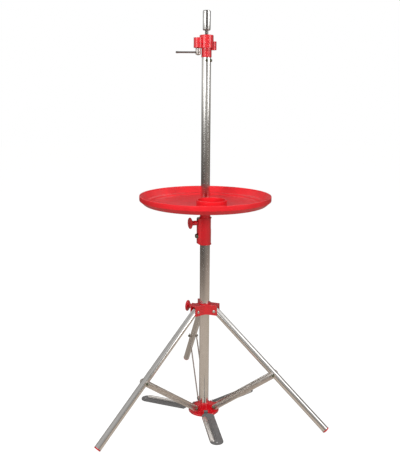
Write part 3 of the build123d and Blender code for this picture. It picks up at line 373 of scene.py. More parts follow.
def painted(name, base, deep, rough_low, rough_high):
    """Grey paint on pressed steel, with a fine orange-peel and paler specks."""
    speck_scale, gloss_scale, peel_scale = 1400, 60, 700
    mat, tree, bsdf = new_material(name)
    specks = spread(tree, noise(tree, speck_scale, 2), 0, 1, 0.45, 0.75)
    tree.links.new(between(tree, specks, deep, base), bsdf.inputs["Base Color"])
    gloss = spread(tree, noise(tree, gloss_scale, 3), rough_low, rough_high)
    tree.links.new(gloss, bsdf.inputs["Roughness"])
    bsdf.inputs["Metallic"].default_value = 0.35
    tree.links.new(bump(tree, noise(tree, peel_scale, 2), 0.06 * MM, 0.4), bsdf.inputs["Normal"])
    return mat


# How the drawn lines are stretched: along a bar or tube, or round a turned piece.
ALONG_Z = (1, 1, 0.012)
RINGS = (0.03, 0.03, 1)

# Two colours each, then the lowest and highest roughness.
MATERIALS = {
    "red_plastic": plastic("red_plastic", (0.62, 0.010, 0.018), (0.50, 0.007, 0.013), 0.13, 0.18, 0.1, 1.7),
    "tray_plastic": plastic("tray_plastic", (0.74, 0.012, 0.020), (0.64, 0.010, 0.016), 0.30, 0.40, 0.3),
    "plated_tube": metal("plated_tube", (0.84, 0.82, 0.79), (0.78, 0.755, 0.72), 0.12, 0.2, ALONG_Z),
    "plated_bar": metal("plated_bar", (0.74, 0.70, 0.66), (0.66, 0.62, 0.58), 0.24, 0.36, ALONG_Z),
    "bright_sleeve": metal("bright_sleeve", (0.86, 0.85, 0.83), (0.80, 0.79, 0.77), 0.16, 0.24, RINGS),
    "steel_core": metal("steel_core", (0.32, 0.30, 0.29), (0.26, 0.25, 0.24), 0.35, 0.5, RINGS),
    "zinc_fastener": metal("zinc_fastener", (0.28, 0.295, 0.22), (0.19, 0.20, 0.145), 0.3, 0.45, RINGS),
    "plate_paint": painted("plate_paint", (0.20, 0.192, 0.19), (0.14, 0.136, 0.135), 0.38, 0.55),
    "nylon": plastic("nylon", (0.035, 0.034, 0.033), (0.022, 0.021, 0.02), 0.4, 0.5, 0.2),
}

for node in frame["nodes"].values():
    for place, old in enumerate(node.data.materials):
        node.data.materials[place] = MATERIALS[old.name.split(".")[0]]

# ---------------------------------------------------------------- helpers for pieces


def place_at(origin, z_axis, x_axis):
    """A matrix with its origin here (metres), its Z along z_axis and its X as near x_axis as it goes."""
    z = Vector(z_axis).normalized()
    y = z.cross(x_axis).normalized()
    return Matrix.Translation(Vector(origin)) @ Matrix((y.cross(z), y, z)).transposed().to_4x4()


def unit(value):
    """The value, kept between 0 and 1."""
    return min(1.0, max(0.0, value))


def circle(radius, degrees, centre=0.0):
    """The point of a circle at this angle, its centre on the second axis."""
    turn = math.radians(degrees)
    return radius * math.cos(turn), centre + radius * math.sin(turn)


SMALLEST_ROUND = 1e-4
MERGE = 1e-6                    # metres between corners that are one
THINNEST = 1e-7


def rounded(points, radius, steps=4):
    """The closed outline with each corner replaced by an arc; a corner may carry its own radius."""
    outline = []
    count = len(points)
    for i, point in enumerate(points):
        corner = Vector(point[:2])
        before, after = Vector(points[i - 1][:2]), Vector(points[(i + 1) % count][:2])
        size = point[2] if len(point) > 2 else radius
        to_before, to_after = (before - corner), (after - corner)
        cut = min(size, 0.45 * to_before.length, 0.45 * to_after.length)
        if cut < SMALLEST_ROUND:
            outline.append(tuple(corner))
            continue
        start, end = corner + cut * to_before.normalized(), corner + cut * to_after.normalized()
        for step in range(steps + 1):
            t = step / steps
            outline.append(tuple((1 - t) ** 2 * start + 2 * t * (1 - t) * corner + t ** 2 * end))
    return outline


def mesh_object(name, verts, faces, matrix=None):
    """An object from corners in millimetres, cleaned up, with its faces turned outwards."""
    mesh = bpy.data.meshes.new(name)
    mesh.from_pydata([Vector(v) * MM for v in verts], [], faces)
    work = bmesh.new()
    work.from_mesh(mesh)
    bmesh.ops.remove_doubles(work, verts=work.verts, dist=MERGE)
    bmesh.ops.dissolve_degenerate(work, edges=work.edges, dist=THINNEST)
    bmesh.ops.recalc_face_normals(work, faces=work.faces)
    work.to_mesh(mesh)
    work.free()
    obj = bpy.data.objects.new(name, mesh)
    bpy.context.scene.collection.objects.link(obj)
    if matrix is not None:
        obj.matrix_world = matrix
    return obj


def lathe(name, outline, matrix=None, segments=64, wave=None, arc=(0, ROUND)):
    """A solid of revolution about Z from a closed outline of (radius, height) in millimetres.

    wave(radius, turn) may change the radius around the axis; a part arc is closed at its ends.
    """
    full = arc[1] - arc[0] >= ROUND
    rings = segments if full else segments + 1
    verts, faces = [], []
    count = len(outline)
    for ring in range(rings):
        turn = math.radians(arc[0] + (arc[1] - arc[0]) * ring / segments)
        for radius, height in outline:
            r = wave(radius, turn) if wave else radius
            verts.append((r * math.cos(turn), r * math.sin(turn), height))
    for ring in range(segments):
        after = (ring + 1) % rings
        for i in range(count):
            k = (i + 1) % count
            faces.append((ring * count + i, after * count + i, after * count + k, ring * count + k))
    if not full:
        faces.append(tuple(range(count)))
        faces.append(tuple((rings - 1) * count + i for i in range(count)))
    return mesh_object(name, verts, faces, matrix)


def prism(name, outline, low, high, matrix=None):
    """A flat outline (millimetres) drawn up from low to high."""
    count = len(outline)
    verts = [(x, y, z) for z in (low, high) for x, y in outline]
    faces = [tuple(range(count)), tuple(range(count, 2 * count))]
    faces += [(i, (i + 1) % count, count + (i + 1) % count, count + i) for i in range(count)]
    return mesh_object(name, verts, faces, matrix)


def bevelled(obj, width, angle):
    """The object with a bevel of this width on its edges sharper than the angle."""
    bevel = obj.modifiers.new("edge", "BEVEL")
    bevel.width = width * MM
    bevel.segments = 2
    bevel.limit_method = "ANGLE"
    bevel.angle_limit = math.radians(angle)
    return obj


def evaluated_mesh(obj):
    """A new mesh of the object as its modifiers leave it."""
    bpy.context.view_layer.update()
    return bpy.data.meshes.new_from_object(obj.evaluated_get(bpy.context.evaluated_depsgraph_get()))


def applied(obj):
    """The object with its modifiers made part of its mesh."""
    mesh = evaluated_mesh(obj)
    obj.modifiers.clear()
    obj.data = mesh
    return obj


def boolean(obj, tool, operation="DIFFERENCE"):
    """The object cut by the tool, or what the two share; the tool goes."""
    cut = obj.modifiers.new("cut", "BOOLEAN")
    cut.operation = operation
    cut.solver = "EXACT"
    cut.object = tool
    applied(obj)
    bpy.data.objects.remove(tool)
    return obj


def joined(name, parts):
    """Several objects made into one, with its origin at the first one's."""
    home = parts[0].matrix_world.copy()
    work = bmesh.new()
    for part in parts:
        mesh = evaluated_mesh(part)
        mesh.transform(home.inverted() @ part.matrix_world)
        work.from_mesh(mesh)
    mesh = bpy.data.meshes.new(name)
    work.to_mesh(mesh)
    work.free()
    for part in parts:
        bpy.data.objects.remove(part)
    obj = bpy.data.objects.new(name, mesh)
    bpy.context.scene.collection.objects.link(obj)
    obj.matrix_world = home
    return obj


def finish_piece(obj, slot, body, *replaced, sharp=32):
    """Gives a piece its material, its smooth shading and its body, and hides the CAD nodes it stands for."""
    if obj.modifiers:
        applied(obj)
    obj.data.materials.clear()
    obj.data.materials.append(MATERIALS[slot])
    obj.data.shade_smooth()
    obj.data.set_sharp_from_angle(angle=math.radians(sharp))
    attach(obj, body)
    if replaced:
        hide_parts(*replaced)
    return obj


JOINTS = {joint["name"]: joint for joint in frame["joints"]}
# Where the repeated parts, the knobs, the lever and the screws point, in degrees about the mast.
LEGS = {"back": 90, "left": 210, "right": 330}
PLATES = {"right": 30, "left": 150, "front": 270}
HUB_KNOB_AZIMUTH = 150
CLAMP_AZIMUTH = 190
LEVER_AZIMUTH = 171
FRONT_AZIMUTH = 260.5
BASE_SCREW_AZIMUTH = 30
HEAD_SCREW_AZIMUTHS = (FRONT_AZIMUTH, 330.5)


def level(azimuth, length=1.0):
    """A level vector of this length towards the azimuth."""
    return polar(length, azimuth)


def sideways(azimuth):
    """Anticlockwise of the radius: the line of a leg's pins."""
    return polar(1.0, azimuth + QUARTER)


# Small bevels soften the moulded CAD pieces that stay.
CAD_BEVEL_ANGLE = 40
CAD_BEVELS = {"base_disc": 0.8, "leg_hub": 0.7, "height_clamp": 0.7, "head_body": 0.6, "head_cap": 0.6,
              "clamp_nut": 0.5}

for name, width in CAD_BEVELS.items():
    bevelled(frame["nodes"][name], width, CAD_BEVEL_ANGLE)

# ---------------------------------------------------------------- tubes


def tube_outline(radius, wall, low, high, lip=0.5):
    """A tube's wall with rounded ends, seen in section."""
    return rounded([(radius - wall, low), (radius, low), (radius, high), (radius - wall, high)], lip)


def mast_tube(name, body, radius, wall):
    """A drawn tube as high as its CAD node."""
    low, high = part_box(name)
    outline = tube_outline(radius, wall, low.z / MM, high.z / MM)
    finish_piece(lathe(f"{name}_drawn", outline, segments=96), "plated_tube", body, name)


mast_tube("outer_tube", "base", 16.0, 1.5)
mast_tube("inner_tube", "mast", 14.0, 1.2)

# Legs: heights run down the leg from its pivot in the hub.
LEG_SLOPE = math.radians(43.15)
LEG_R = 11.0
LEG_WALL = 1.2
LEG_TOP = -10.0
LEG_END = 512.7
LEG_GAP = 0.1            # between the tube and the flange of its plug
FOOT_R = 11.3            # the flange
FOOT_T = 4.0
SPIGOT_R = LEG_R - 1.4   # the part of the plug inside the tube
SPIGOT_LENGTH = 14
FOOT_DIMPLE_R = 4.0
FOOT_DIMPLE_DEPTH = 1.2
LEG_PIVOT_R, LEG_PIVOT_Z = 38.0, 358.5
STRUT_ALONG_LEG = 275.5


def leg_frame(side):
    """The leg's own frame: origin at its pivot, Z down the leg."""
    azimuth = LEGS[side]
    pivot = Vector(JOINTS[f"leg_fold_{side}"]["pos_m"])
    down = level(azimuth, math.cos(LEG_SLOPE)) - UP * math.sin(LEG_SLOPE)
    return place_at(pivot, down, sideways(azimuth))


def leg(side):
    """A leg's drawn tube and the red plug in its lower end."""
    matrix = leg_frame(side)
    flange = LEG_END - FOOT_T
    wall = tube_outline(LEG_R, LEG_WALL, LEG_TOP, flange - LEG_GAP, 0.4)
    tube = lathe(f"leg_drawn_{side}", wall, matrix)
    finish_piece(tube, "plated_tube", f"leg_{side}", f"leg_tube_{side}")
    dimple = LEG_END - FOOT_DIMPLE_DEPTH
    plug = rounded([
        (0, flange - SPIGOT_LENGTH, 0), (SPIGOT_R, flange - SPIGOT_LENGTH), (SPIGOT_R, flange, 0),
        (FOOT_R, flange, 0.4), (FOOT_R, LEG_END, 1.2), (FOOT_DIMPLE_R, LEG_END, 0.6),
        (FOOT_DIMPLE_R - 1, dimple, 0.5), (0, dimple, 0)], 0.8)
    end = lathe(f"leg_end_{side}", plug)
    end.data.transform(matrix)
    finish_piece(end, "red_plastic", f"leg_{side}", f"leg_foot_{side}")


for side in LEGS:
    leg(side)

# ---------------------------------------------------------------- tray

# The tray's wall in section: radius, height, and the radius of the corner.
TRAY_SECTION = (
    (14.35, 663.4, 0.3), (16.6, 663.4, 0.5), (16.6, 704, 2.2), (60, 704, 0), (60.4, 704.5, 0.2),
    (61.6, 704.5, 0.2), (62, 704, 0), (120, 704, 0), (120.4, 704.5, 0.2), (121.6, 704.5, 0.2),
    (122, 704, 0), (184, 704, 4), (192, 706, 4), (203, 716, 2.5), (207, 719, 1.6), (207, 734, 2.0),
    (202.6, 734, 1.6), (201.5, 731, 1.5), (188, 714.5, 2.5), (185, 713, 1.2), (179, 713, 2.0),
    (175, 707, 2.0), (24, 707, 0.8), (24, 710, 0.9), (14.35, 710, 0.5),
)
CUP_CENTRE = Vector((8.4, -62.2, 0)) * MM
CUP_RING = ((43, 706.9, 0.1), (47, 706.9, 0.1), (47, 729), (43, 729))


def tray():
    """The dish with its neck, and the ring of the cup holder on its floor."""
    dish = lathe("tray_dish", rounded(TRAY_SECTION, 0.5), segments=180)
    finish_piece(dish, "tray_plastic", "tray", "tray", sharp=50)
    ring = lathe("tray_cup_ring", rounded(CUP_RING, 1.6, 6), Matrix.Translation(CUP_CENTRE), 96)
    finish_piece(ring, "tray_plastic", "tray")


tray()

# ---------------------------------------------------------------- knobs and fasteners

KNOB_R = 18.0
KNOB_RIM = 6.0           # from the face back to the rim's underside
KNOB_BACK = 11.0         # from the face back to the stem's shoulder
KNOB_STEM_R = 7.5
KNOB_BORE_R = 4.0
KNOB_BORE_DEPTH = 8.0
KNOB_DISH_DEPTH = 1.3
KNOB_FLUTES = 18
FLUTE_DEPTH = 1.1
FLUTE_START = 14.5       # the radius where the flutes begin, and how far out they reach full depth
FLUTE_REACH = 3.0


def flute(radius, turn):
    """The knob's radius at this turn, less towards the middle of each flute near the rim."""
    share = unit((radius - FLUTE_START) / FLUTE_REACH)
    return radius - FLUTE_DEPTH * share * max(0.0, math.cos(KNOB_FLUTES * turn)) ** 2


def knob(name, azimuth, inner, outer, height):
    """A mushroom knob with a scalloped rim and a shallow dish in its face."""
    rim, back = outer - KNOB_RIM, outer - KNOB_BACK
    dish, bore = outer - KNOB_DISH_DEPTH, inner + KNOB_BORE_DEPTH
    outline = rounded([
        (KNOB_BORE_R, inner, 0.2), (KNOB_STEM_R, inner, 0.6), (KNOB_STEM_R, back, 2.0),
        (KNOB_R - 1.6, rim, 1.2), (KNOB_R, rim + 1.4, 1.2), (KNOB_R, outer - 1.6, 1.6),
        (KNOB_R - 2.5, outer, 1.2), (11.5, outer, 1.5), (9.5, dish, 1.5), (0, dish, 0),
        (0, bore, 0), (KNOB_BORE_R, bore, 0)], 0.8, 5)
    matrix = place_at((0, 0, height * MM), level(azimuth), UP)
    finish_piece(lathe(f"{name}_moulding", outline, matrix, 216, flute), "red_plastic", name, name, sharp=40)


knob("hub_knob", HUB_KNOB_AZIMUTH, 44.0, 62.0, 362.0)
knob("clamp_knob", CLAMP_AZIMUTH, 27.0, 53.5, 646.0)


def hexagon(radius):
    """Six corners, the first on the X axis."""
    return [circle(radius, ROUND / 6 * corner) for corner in range(6)]


def hex_head(name, radius, low, high, matrix):
    """A hexagon head whose corners are turned off in a shallow cone."""
    turned, flat = 1.3, 0.84
    head = prism(name, hexagon(radius), low, high, matrix)
    cone = rounded([(0, low - 1, 0), (radius + 1, low - 1, 0), (radius + 1, high - turned, 0),
                    (radius * flat, high, 0.2), (0, high, 0)], 0)
    return boolean(head, lathe("turned", cone, matrix), "INTERSECT")


def dome(radius, low, high, flat=0.35):
    """A rivet's domed head, in section; flat is the share of its height that is a straight side."""
    steps = 7
    curve = []
    for step in range(steps):
        across, up = circle(1.0, QUARTER * step / steps)
        curve.append((radius * across, low + (high - low) * (flat + (1 - flat) * up)))
    return [(0, low), (radius, low)] + curve + [(0, high)]


CLAMP_BOLT_Z = 604.0
CLAMP_BOLT_R = 4.0
CLAMP_WASHER_R = 8.6
CLAMP_HEAD_R = 7.2
# Distances from the mast's axis: the shank's end, the washer's two faces and the head's top.
CLAMP_BOLT_STEPS = (16.0, 25.5, 26.7, 32.2)


def clamp_bolt():
    """The hexagon-headed bolt and its washer, below the clamp's knob."""
    face = place_at((0, 0, CLAMP_BOLT_Z * MM), level(CLAMP_AZIMUTH), UP)
    shank_end, seat, under_head, top = CLAMP_BOLT_STEPS
    ring = [(CLAMP_BOLT_R, seat), (CLAMP_WASHER_R, seat), (CLAMP_WASHER_R, under_head),
            (CLAMP_BOLT_R, under_head)]
    inside = under_head + 0.3
    rod = [(0, shank_end, 0), (CLAMP_BOLT_R, shank_end), (CLAMP_BOLT_R, inside, 0), (0, inside, 0)]
    washer = lathe("washer", rounded(ring, 0.3), face)
    shank = lathe("shank", rounded(rod, 0.4), face)
    head = hex_head("head", CLAMP_HEAD_R, under_head, top, face)
    finish_piece(joined("clamp_hex_bolt", [washer, shank, head]), "zinc_fastener", "base", "clamp_bolt")


clamp_bolt()

# Distances from the leg's middle plane to a strut's bar, through its bolt's washer, nut and end.
BAR_INNER, BAR_OUTER = 11.6, 13.6
NUT_SEAT, NUT_TOP, BOLT_TOP = 14.4, 17.4, 19.1
NUT_R = 4.4
BOLT_R = 2.5
BOLT_END_R = 2.9


def strut_bolts(side):
    """A dark hexagon nut with a domed end on each side of the leg."""
    azimuth = LEGS[side]
    pivot = leg_frame(side) @ Vector((0, 0, STRUT_ALONG_LEG * MM))
    washer = rounded([(2.4, BAR_OUTER), (NUT_R, BAR_OUTER), (NUT_R, NUT_SEAT), (2.4, NUT_SEAT)], 0.2)
    stub = [(0, BAR_INNER), (BOLT_R, BAR_INNER), (BOLT_R, NUT_SEAT + 0.1), (0, NUT_SEAT + 0.1)]
    parts = []
    for way in (-1, 1):
        outward = place_at(pivot, way * sideways(azimuth), UP)
        parts.append(lathe("washer", washer, outward))
        parts.append(hex_head("nut", NUT_R, NUT_SEAT, NUT_TOP, outward))
        parts.append(lathe("end", dome(BOLT_END_R, NUT_TOP - 0.1, BOLT_TOP), outward, 32))
        parts.append(lathe("stub", stub, outward, 32))
    bolts = joined(f"strut_bolts_{side}", parts)
    finish_piece(bolts, "zinc_fastener", f"strut_{side}", f"strut_rivets_{side}")


def domed_pins(name, cad, body, slot, radius_from_axis, height, shank_r, seat, head_r, head_t):
    """Cross pins with a domed head at both ends, one on each leg's azimuth."""
    shank = [(0, -seat), (shank_r, -seat), (shank_r, seat), (0, seat)]
    head = dome(head_r, seat, seat + head_t)
    parts = []
    for azimuth in LEGS.values():
        centre = polar(radius_from_axis * MM, azimuth, height * MM)
        parts.append(lathe("shank", shank, place_at(centre, sideways(azimuth), UP), 40))
        for way in (-1, 1):
            parts.append(lathe("head", head, place_at(centre, way * sideways(azimuth), UP), 40))
    finish_piece(joined(name, parts), slot, body, cad)


STRUT_FOOT_R, STRUT_FOOT_Z = 41.5, 20.5
# The pins' shank radius, half their length between the heads, and the heads' radius and height.
HUB_PIN = (3.0, 15.4, 5.0, 2.0)
BASE_PIN = (2.5, 14.0, 4.6, 2.2)

for side in LEGS:
    strut_bolts(side)
domed_pins("hub_pins_domed", "leg_pins", "hub", "plated_bar", LEG_PIVOT_R, LEG_PIVOT_Z, *HUB_PIN)
domed_pins("base_rivets_domed", "strut_pins", "base", "zinc_fastener", STRUT_FOOT_R, STRUT_FOOT_Z, *BASE_PIN)


SCREW_SHANK_R = 2.4
SLOT_HALF_W = 0.55


def cross_screw(name, azimuth, start, seat, height, radius, thickness):
    """A pan-head screw with a cross slot, from start out to its head on the seat."""
    matrix = place_at((0, 0, height * MM), level(azimuth), UP)
    head = dome(radius, seat, seat + thickness, 0.55)
    screw = lathe(name, [(0, start), (SCREW_SHANK_R, start), (SCREW_SHANK_R, seat)] + head[1:], matrix, 48)
    reach, floor, above = radius * 0.62, seat + thickness * 0.45, seat + thickness + 1
    for x, y in ((reach, SLOT_HALF_W), (SLOT_HALF_W, reach)):
        boolean(screw, prism("slot", [(-x, -y), (x, -y), (x, y), (-x, y)], floor, above, matrix))
    return screw


# Start, seat, height on the mast, head radius and head height.
BASE_SCREW = (13.0, 19.8, 19.0, 4.8, 2.0)
HEAD_SCREW = (7.0, 14.0, 1142.0, 4.3, 4.0)

set_screw = cross_screw("base_set_screw", BASE_SCREW_AZIMUTH, *BASE_SCREW)
finish_piece(set_screw, "zinc_fastener", "base", "tube_base_screw")
pan_screws = [cross_screw("screw", azimuth, *HEAD_SCREW) for azimuth in HEAD_SCREW_AZIMUTHS]
finish_piece(joined("head_pan_screws", pan_screws), "zinc_fastener", "mast", "head_screws")

KNURLS = 36
KNURL_DEPTH = 0.15


def socket_bolt(node, shank_r, head_r, head_t):
    """A cap screw with a knurled round head and a hexagon socket."""
    low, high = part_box(node)
    centre = (low + high) / 2
    matrix = Matrix.Translation((centre.x, centre.y, 0))
    top, bottom = high.z / MM, low.z / MM
    seat = top - head_t
    outline = rounded([(0, bottom, 0), (shank_r, bottom, 0.6), (shank_r, seat, 0.2), (head_r, seat, 0.3),
                       (head_r, top, 0.7), (0, top, 0)], 0.3)

    def knurl(radius, turn):
        return radius - KNURL_DEPTH * (radius > head_r - 0.4) * (0.5 + 0.5 * math.cos(KNURLS * turn))

    bolt = lathe(f"{node}_cap_screw", outline, matrix, 144, knurl)
    boolean(bolt, prism("socket", hexagon(head_r * 0.5), top - head_t * 0.6, top + 1, matrix))
    finish_piece(bolt, "zinc_fastener", "mast", node)


socket_bolt("lever_bolt", 3.0, 5.5, 4.0)
socket_bolt("jaw_bolt", 2.5, 4.4, 3.5)

# ---------------------------------------------------------------- struts


BAR_HALF_W = 9.0
BAR_END_STEPS = 16
BAR_EDGE = 0.5


def strut(side):
    """Two flat bars with rounded ends and softened edges, in the strut's own frame."""
    across = sideways(LEGS[side])
    foot = Vector(JOINTS[f"strut_fold_{side}"]["pos_m"])
    top = leg_frame(side) @ Vector((0, 0, STRUT_ALONG_LEG * MM))
    length = (top - foot).length / MM
    matrix = place_at(foot, top - foot, across)
    outline = [circle(BAR_HALF_W, start + 2 * QUARTER * step / BAR_END_STEPS, centre)
               for centre, start in ((length, 0), (0, 2 * QUARTER)) for step in range(BAR_END_STEPS + 1)]
    # Drawn flat, then stood on edge: the outline's y runs up the strut.
    flat = matrix @ Matrix(((0, 0, 1, 0), (1, 0, 0, 0), (0, 1, 0, 0), (0, 0, 0, 1)))
    parts = []
    for low, high in ((-BAR_OUTER, -BAR_INNER), (BAR_INNER, BAR_OUTER)):
        parts.append(applied(bevelled(prism("bar", outline, low, high, flat), BAR_EDGE, 35)))
    bars = joined(f"strut_flat_bars_{side}", parts)
    bars.data.transform(matrix.inverted() @ bars.matrix_world)
    bars.matrix_world = matrix
    finish_piece(bars, "plated_bar", f"strut_{side}", f"strut_bars_{side}", sharp=50)


for side in LEGS:
    strut(side)

# ---------------------------------------------------------------- foot plates

# Lengths run outwards from the mast's axis; a plate's middle line lies beside its radius.
PLATE_MIDDLE = 5.0
PLATE_HALF = 21.0
PLATE_TIP = 228.0
PLATE_STRAIGHT = PLATE_TIP - PLATE_HALF     # where the round tip begins
PLATE_ROOT = 38.0
PLATE_ROOT_HALF = 6.0
PLATE_WIDENS = (46.0, 16.0)                 # where it starts to widen, and over what length
PLATE_ROWS = 75
PLATE_TIP_ROWS = 14
PLATE_TIP_TURN = 87.0
PLATE_STEP = 61.0                           # outwards of this the plate lies on the floor
PLATE_TOP = 4.4
PLATE_SHEET = 1.7
CREASE_RISE = 5.4
CREASE_LENGTH = 9.0
# The long rib: its start and end, half width, rise, and the length of its ends' slope.
RIB_START, RIB_END, RIB_HALF, RIB_RISE, RIB_SLOPE = 78.0, 202.0, 3.5, 2.4, 6.0
# Where the sheet's corners lie across it, and how far the edge and the one inside it turn down.
PLATE_ACROSS = (-1, -0.985, -0.94, -0.7, -0.4, -0.165, -0.12, -0.06, 0,
                0.06, 0.12, 0.165, 0.4, 0.7, 0.94, 0.985, 1)
EDGE_SHARE = 0.98
EDGE_DROP, RIM_DROP = 2.3, 0.7
HANG_HOLE_AT = 215
HANG_HOLE_R = 2.6
HANG_HOLE_DRILL = (-2, 9)                   # heights the drill runs between
KNUCKLE_R, KNUCKLE_BORE_R, KNUCKLE_HALF = 4.2, 2.05, 6
# The rolled edge: a flattened roll, so its middle lies further in than its own radius.
BEAD_R = 4.2
BEAD_INSET = 4.3
BEAD_Z = 4.5
BEAD_WIDER = 3.4
BEAD_STRETCH = 1.8


def plate_height(along, across):
    """The pressed sheet's top: over the disc, down a crease to the floor, with one long rib."""
    crease = unit((PLATE_STEP + 2 - along) / CREASE_LENGTH)
    inside = unit(min(along - RIB_START, RIB_END - along) / RIB_SLOPE + 0.5)
    side = max(0.0, 1 - (abs(across) / RIB_HALF) ** 2)
    return PLATE_TOP + CREASE_RISE * crease + RIB_RISE * inside * side


def plate_stations():
    """Rows of the sheet from its root to its tip: distance out, half width, and the middle's offset."""
    start, length = PLATE_WIDENS
    stations = []
    for row in range(PLATE_ROWS + 1):
        along = PLATE_ROOT + (PLATE_STRAIGHT - PLATE_ROOT) * row / PLATE_ROWS
        widen = math.sin(math.pi / 2 * unit((along - start) / length))
        half = PLATE_ROOT_HALF + (PLATE_HALF - PLATE_ROOT_HALF) * widen
        stations.append((along, half, PLATE_MIDDLE * widen))
    for row in range(1, PLATE_TIP_ROWS + 1):
        half, along = circle(PLATE_HALF, PLATE_TIP_TURN * row / PLATE_TIP_ROWS, PLATE_STRAIGHT)
        stations.append((along, half, PLATE_MIDDLE))
    return stations


def plate_sheet(side, matrix):
    """The pressed sheet with its hanging hole."""
    stations = plate_stations()
    verts, faces = [], []
    for along, half, middle in stations:
        for share in PLATE_ACROSS:
            height = plate_height(along, share * half)
            if along > PLATE_STEP and abs(share) > EDGE_SHARE:
                height = PLATE_TOP - (RIM_DROP if abs(share) < 1 else EDGE_DROP)
            verts.append((along, middle + share * half, height))
    width = len(PLATE_ACROSS)
    for row in range(len(stations) - 1):
        for k in range(width - 1):
            a = row * width + k
            faces.append((a, a + 1, a + width + 1, a + width))
    sheet = mesh_object(f"plate_sheet_{side}", verts, faces, matrix)
    if sheet.data.polygons[0].normal.z < 0:
        sheet.data.flip_normals()
    thick = sheet.modifiers.new("sheet", "SOLIDIFY")
    thick.thickness = PLATE_SHEET * MM
    thick.offset = -1.0
    applied(sheet)
    drill = matrix @ Matrix.Translation(Vector((HANG_HOLE_AT, PLATE_MIDDLE, 0)) * MM)
    low, high = HANG_HOLE_DRILL
    outline = [(0, low), (HANG_HOLE_R, low), (HANG_HOLE_R, high), (0, high)]
    return boolean(sheet, lathe("hole", outline, drill, 32))


def plate_bead(side, matrix):
    """The bright rolled edge on one side of the plate, tapered in at the root and round at the tip."""
    bead = [(0, PLATE_STEP)]
    for degrees in range(15, 91, 15):
        back, out = circle(BEAD_R, degrees)
        bead.append((out, PLATE_STEP + BEAD_R - back))
    bead += [circle(BEAD_R, degrees, PLATE_STRAIGHT) for degrees in range(0, QUARTER, 15)]
    bead.append((0, PLATE_STRAIGHT + BEAD_R))
    line = matrix @ Vector((0, (PLATE_MIDDLE - PLATE_HALF + BEAD_INSET) * MM, BEAD_Z * MM))
    edge = lathe(f"plate_bead_{side}", bead, place_at(line, level(PLATES[side]), UP), 32)
    flatten = Matrix.Diagonal((1, BEAD_STRETCH, 1, 1))
    edge.data.transform(Matrix.Translation((0, -BEAD_WIDER * MM, 0)) @ flatten)
    finish_piece(edge, "plated_bar", f"plate_{side}")


def foot_plate(side):
    """A foot plate: the pressed sheet with its hinge's knuckle, and its bright rolled edge."""
    matrix = place_at((0, 0, 0), UP, level(PLATES[side]))
    sheet = plate_sheet(side, matrix)
    hinge = Vector(JOINTS[f"plate_fold_{side}"]["pos_m"])
    barrel = rounded([(KNUCKLE_BORE_R, -KNUCKLE_HALF), (KNUCKLE_R, -KNUCKLE_HALF),
                      (KNUCKLE_R, KNUCKLE_HALF), (KNUCKLE_BORE_R, KNUCKLE_HALF)], 0.4)
    knuckle = lathe("knuckle", barrel, place_at(hinge, sideways(PLATES[side]), UP), 48)
    pressing = joined(f"plate_pressing_{side}", [sheet, knuckle])
    finish_piece(pressing, "plate_paint", f"plate_{side}", f"foot_plate_{side}", sharp=40)
    plate_bead(side, matrix)


for side in PLATES:
    foot_plate(side)

# ---------------------------------------------------------------- lever


LEVER_Z = 1165.0
BARREL_R = 7.8
BARREL_END_R = 7.0
BARREL_BORE_R = 3.05
BARREL_GROOVE_R = 7.4
BARREL_GROOVES = (4.2, 4.7, 5.2)         # a groove's start, bottom and end, from either end
# The rod: a collar at each end of a thin shaft, then a round tip. Lengths from the boss's axis.
ROD_COLLAR_R, ROD_R, ROD_TIP_R = 3.2, 2.75, 2.6
ROD_START, ROD_COLLAR_END, ROD_THIN_FROM = 4.4, 8.5, 9.3
ROD_THIN_TO, ROD_COLLAR_FROM, ROD_TIP_FROM, ROD_END = 58.5, 60, 64.4, 67


def lever():
    """The turned boss on the jaw's bolt, and the rod that turns it."""
    low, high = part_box("lever_barrel")
    centre = (low + high) / 2
    bottom, top = low.z / MM, high.z / MM
    start, middle, end = BARREL_GROOVES
    outline = rounded([
        (BARREL_BORE_R, bottom, 0.3), (BARREL_END_R, bottom, 0.8), (BARREL_R, bottom + 2),
        (BARREL_R, bottom + start), (BARREL_GROOVE_R, bottom + middle), (BARREL_R, bottom + end),
        (BARREL_R, top - end), (BARREL_GROOVE_R, top - middle), (BARREL_R, top - start),
        (BARREL_R, top - 1.5), (BARREL_END_R, top, 0.6), (BARREL_BORE_R, top, 0.3)], 0.3)
    barrel = lathe("lever_boss_turned", outline, Matrix.Translation((centre.x, centre.y, 0)), 96)
    finish_piece(barrel, "plated_bar", "lever", "lever_barrel")
    matrix = place_at((centre.x, centre.y, LEVER_Z * MM), level(LEVER_AZIMUTH), UP)
    tip = []
    for degrees in range(0, QUARTER, 15):
        tip.append((circle(ROD_COLLAR_R, degrees)[0], circle(ROD_TIP_R, degrees, ROD_TIP_FROM)[1]))
    rod = [(0, ROD_START), (ROD_COLLAR_R, ROD_START), (ROD_COLLAR_R, ROD_COLLAR_END),
           (ROD_R, ROD_THIN_FROM), (ROD_R, ROD_THIN_TO), (ROD_COLLAR_R, ROD_COLLAR_FROM)]
    handle = lathe("lever_handle", rod + tip + [(0, ROD_END)], matrix, 48)
    finish_piece(handle, "steel_core", "lever", "lever_rod")


lever()

# ---------------------------------------------------------------- spindle


SLEEVE_R, SLEEVE_BORE_R = 11.9, 9.0
SLEEVE_SLOT_HALF = 2.8
CORE_R = 8.95                            # the core inside the sleeve
CORE_COLLAR_R, CORE_COLLAR_T = 10.5, 2.0
CORE_GAP = 0.05
BALL_Z, BALL_R, BALL_STEP = 1195.0, 13.0, 6
NECK_R, NECK_FROM = 5.0, 1216
WASHER_R, WASHER_DIMPLE_R, WASHER_DIMPLE = 10.2, 4.2, 0.8


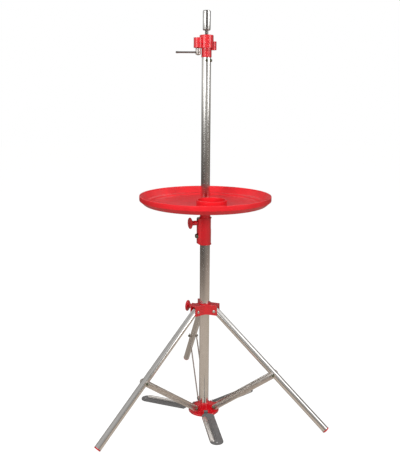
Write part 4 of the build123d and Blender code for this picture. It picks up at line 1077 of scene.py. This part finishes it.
def spindle_sleeve(bottom, top):
    """The bright sleeve, slotted down its front."""
    section = rounded([(SLEEVE_BORE_R, bottom, 0.4), (SLEEVE_R, bottom, 0.7), (SLEEVE_R, top, 1.6),
                       (SLEEVE_BORE_R, top, 0.6)], 0.5, 5)
    half_slot = math.degrees(math.asin(SLEEVE_SLOT_HALF / SLEEVE_R))
    arc = (FRONT_AZIMUTH + half_slot, FRONT_AZIMUTH + ROUND - half_slot)
    sleeve = lathe("spindle_split_sleeve", section, segments=90, arc=arc)
    finish_piece(sleeve, "bright_sleeve", "sleeve", "spindle_sleeve")


def spindle_core(bottom, top):
    """The ball, its neck, the collar under the sleeve and the core inside it."""
    neck_turn = math.degrees(math.asin(NECK_R / BALL_R))
    turns = range(-QUARTER, int(QUARTER - neck_turn), BALL_STEP)
    ball = [circle(BALL_R, degrees, BALL_Z) for degrees in turns]
    ball[0] = (0, BALL_Z - BALL_R)
    ball.append((NECK_R, BALL_Z + math.sqrt(BALL_R ** 2 - NECK_R ** 2)))
    collar_top = bottom - CORE_GAP
    collar = collar_top - CORE_COLLAR_T
    end = top + CORE_GAP
    stem = rounded([
        (NECK_R, NECK_FROM, 0), (NECK_R, collar, 0.8), (CORE_COLLAR_R, collar, 0.4),
        (CORE_COLLAR_R, collar_top, 0.2), (CORE_R, collar_top, 0.1), (CORE_R, end, 0.1), (0, end, 0)], 0.2)
    core = lathe("spindle_ball_and_core", ball + stem, segments=72)
    finish_piece(core, "steel_core", "spindle", "spindle", sharp=40)


def spindle_washer():
    """The dished washer on the spindle's end, which keeps the sleeve on."""
    low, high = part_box("sleeve_retainer")
    bottom, top = low.z / MM, high.z / MM
    dimple = top - WASHER_DIMPLE
    outline = rounded([
        (0, bottom, 0), (WASHER_R, bottom, 0.2), (WASHER_R, top - 0.3, 0.8),
        (WASHER_DIMPLE_R, top, 0.5), (WASHER_DIMPLE_R - 0.6, dimple, 0.3), (0, dimple, 0)], 0.3)
    washer = lathe("spindle_end_washer", outline, segments=64)
    finish_piece(washer, "steel_core", "spindle", "sleeve_retainer")


def spindle():
    low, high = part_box("spindle_sleeve")
    bottom, top = low.z / MM, high.z / MM
    spindle_sleeve(bottom, top)
    spindle_core(bottom, top)
    spindle_washer()


spindle()
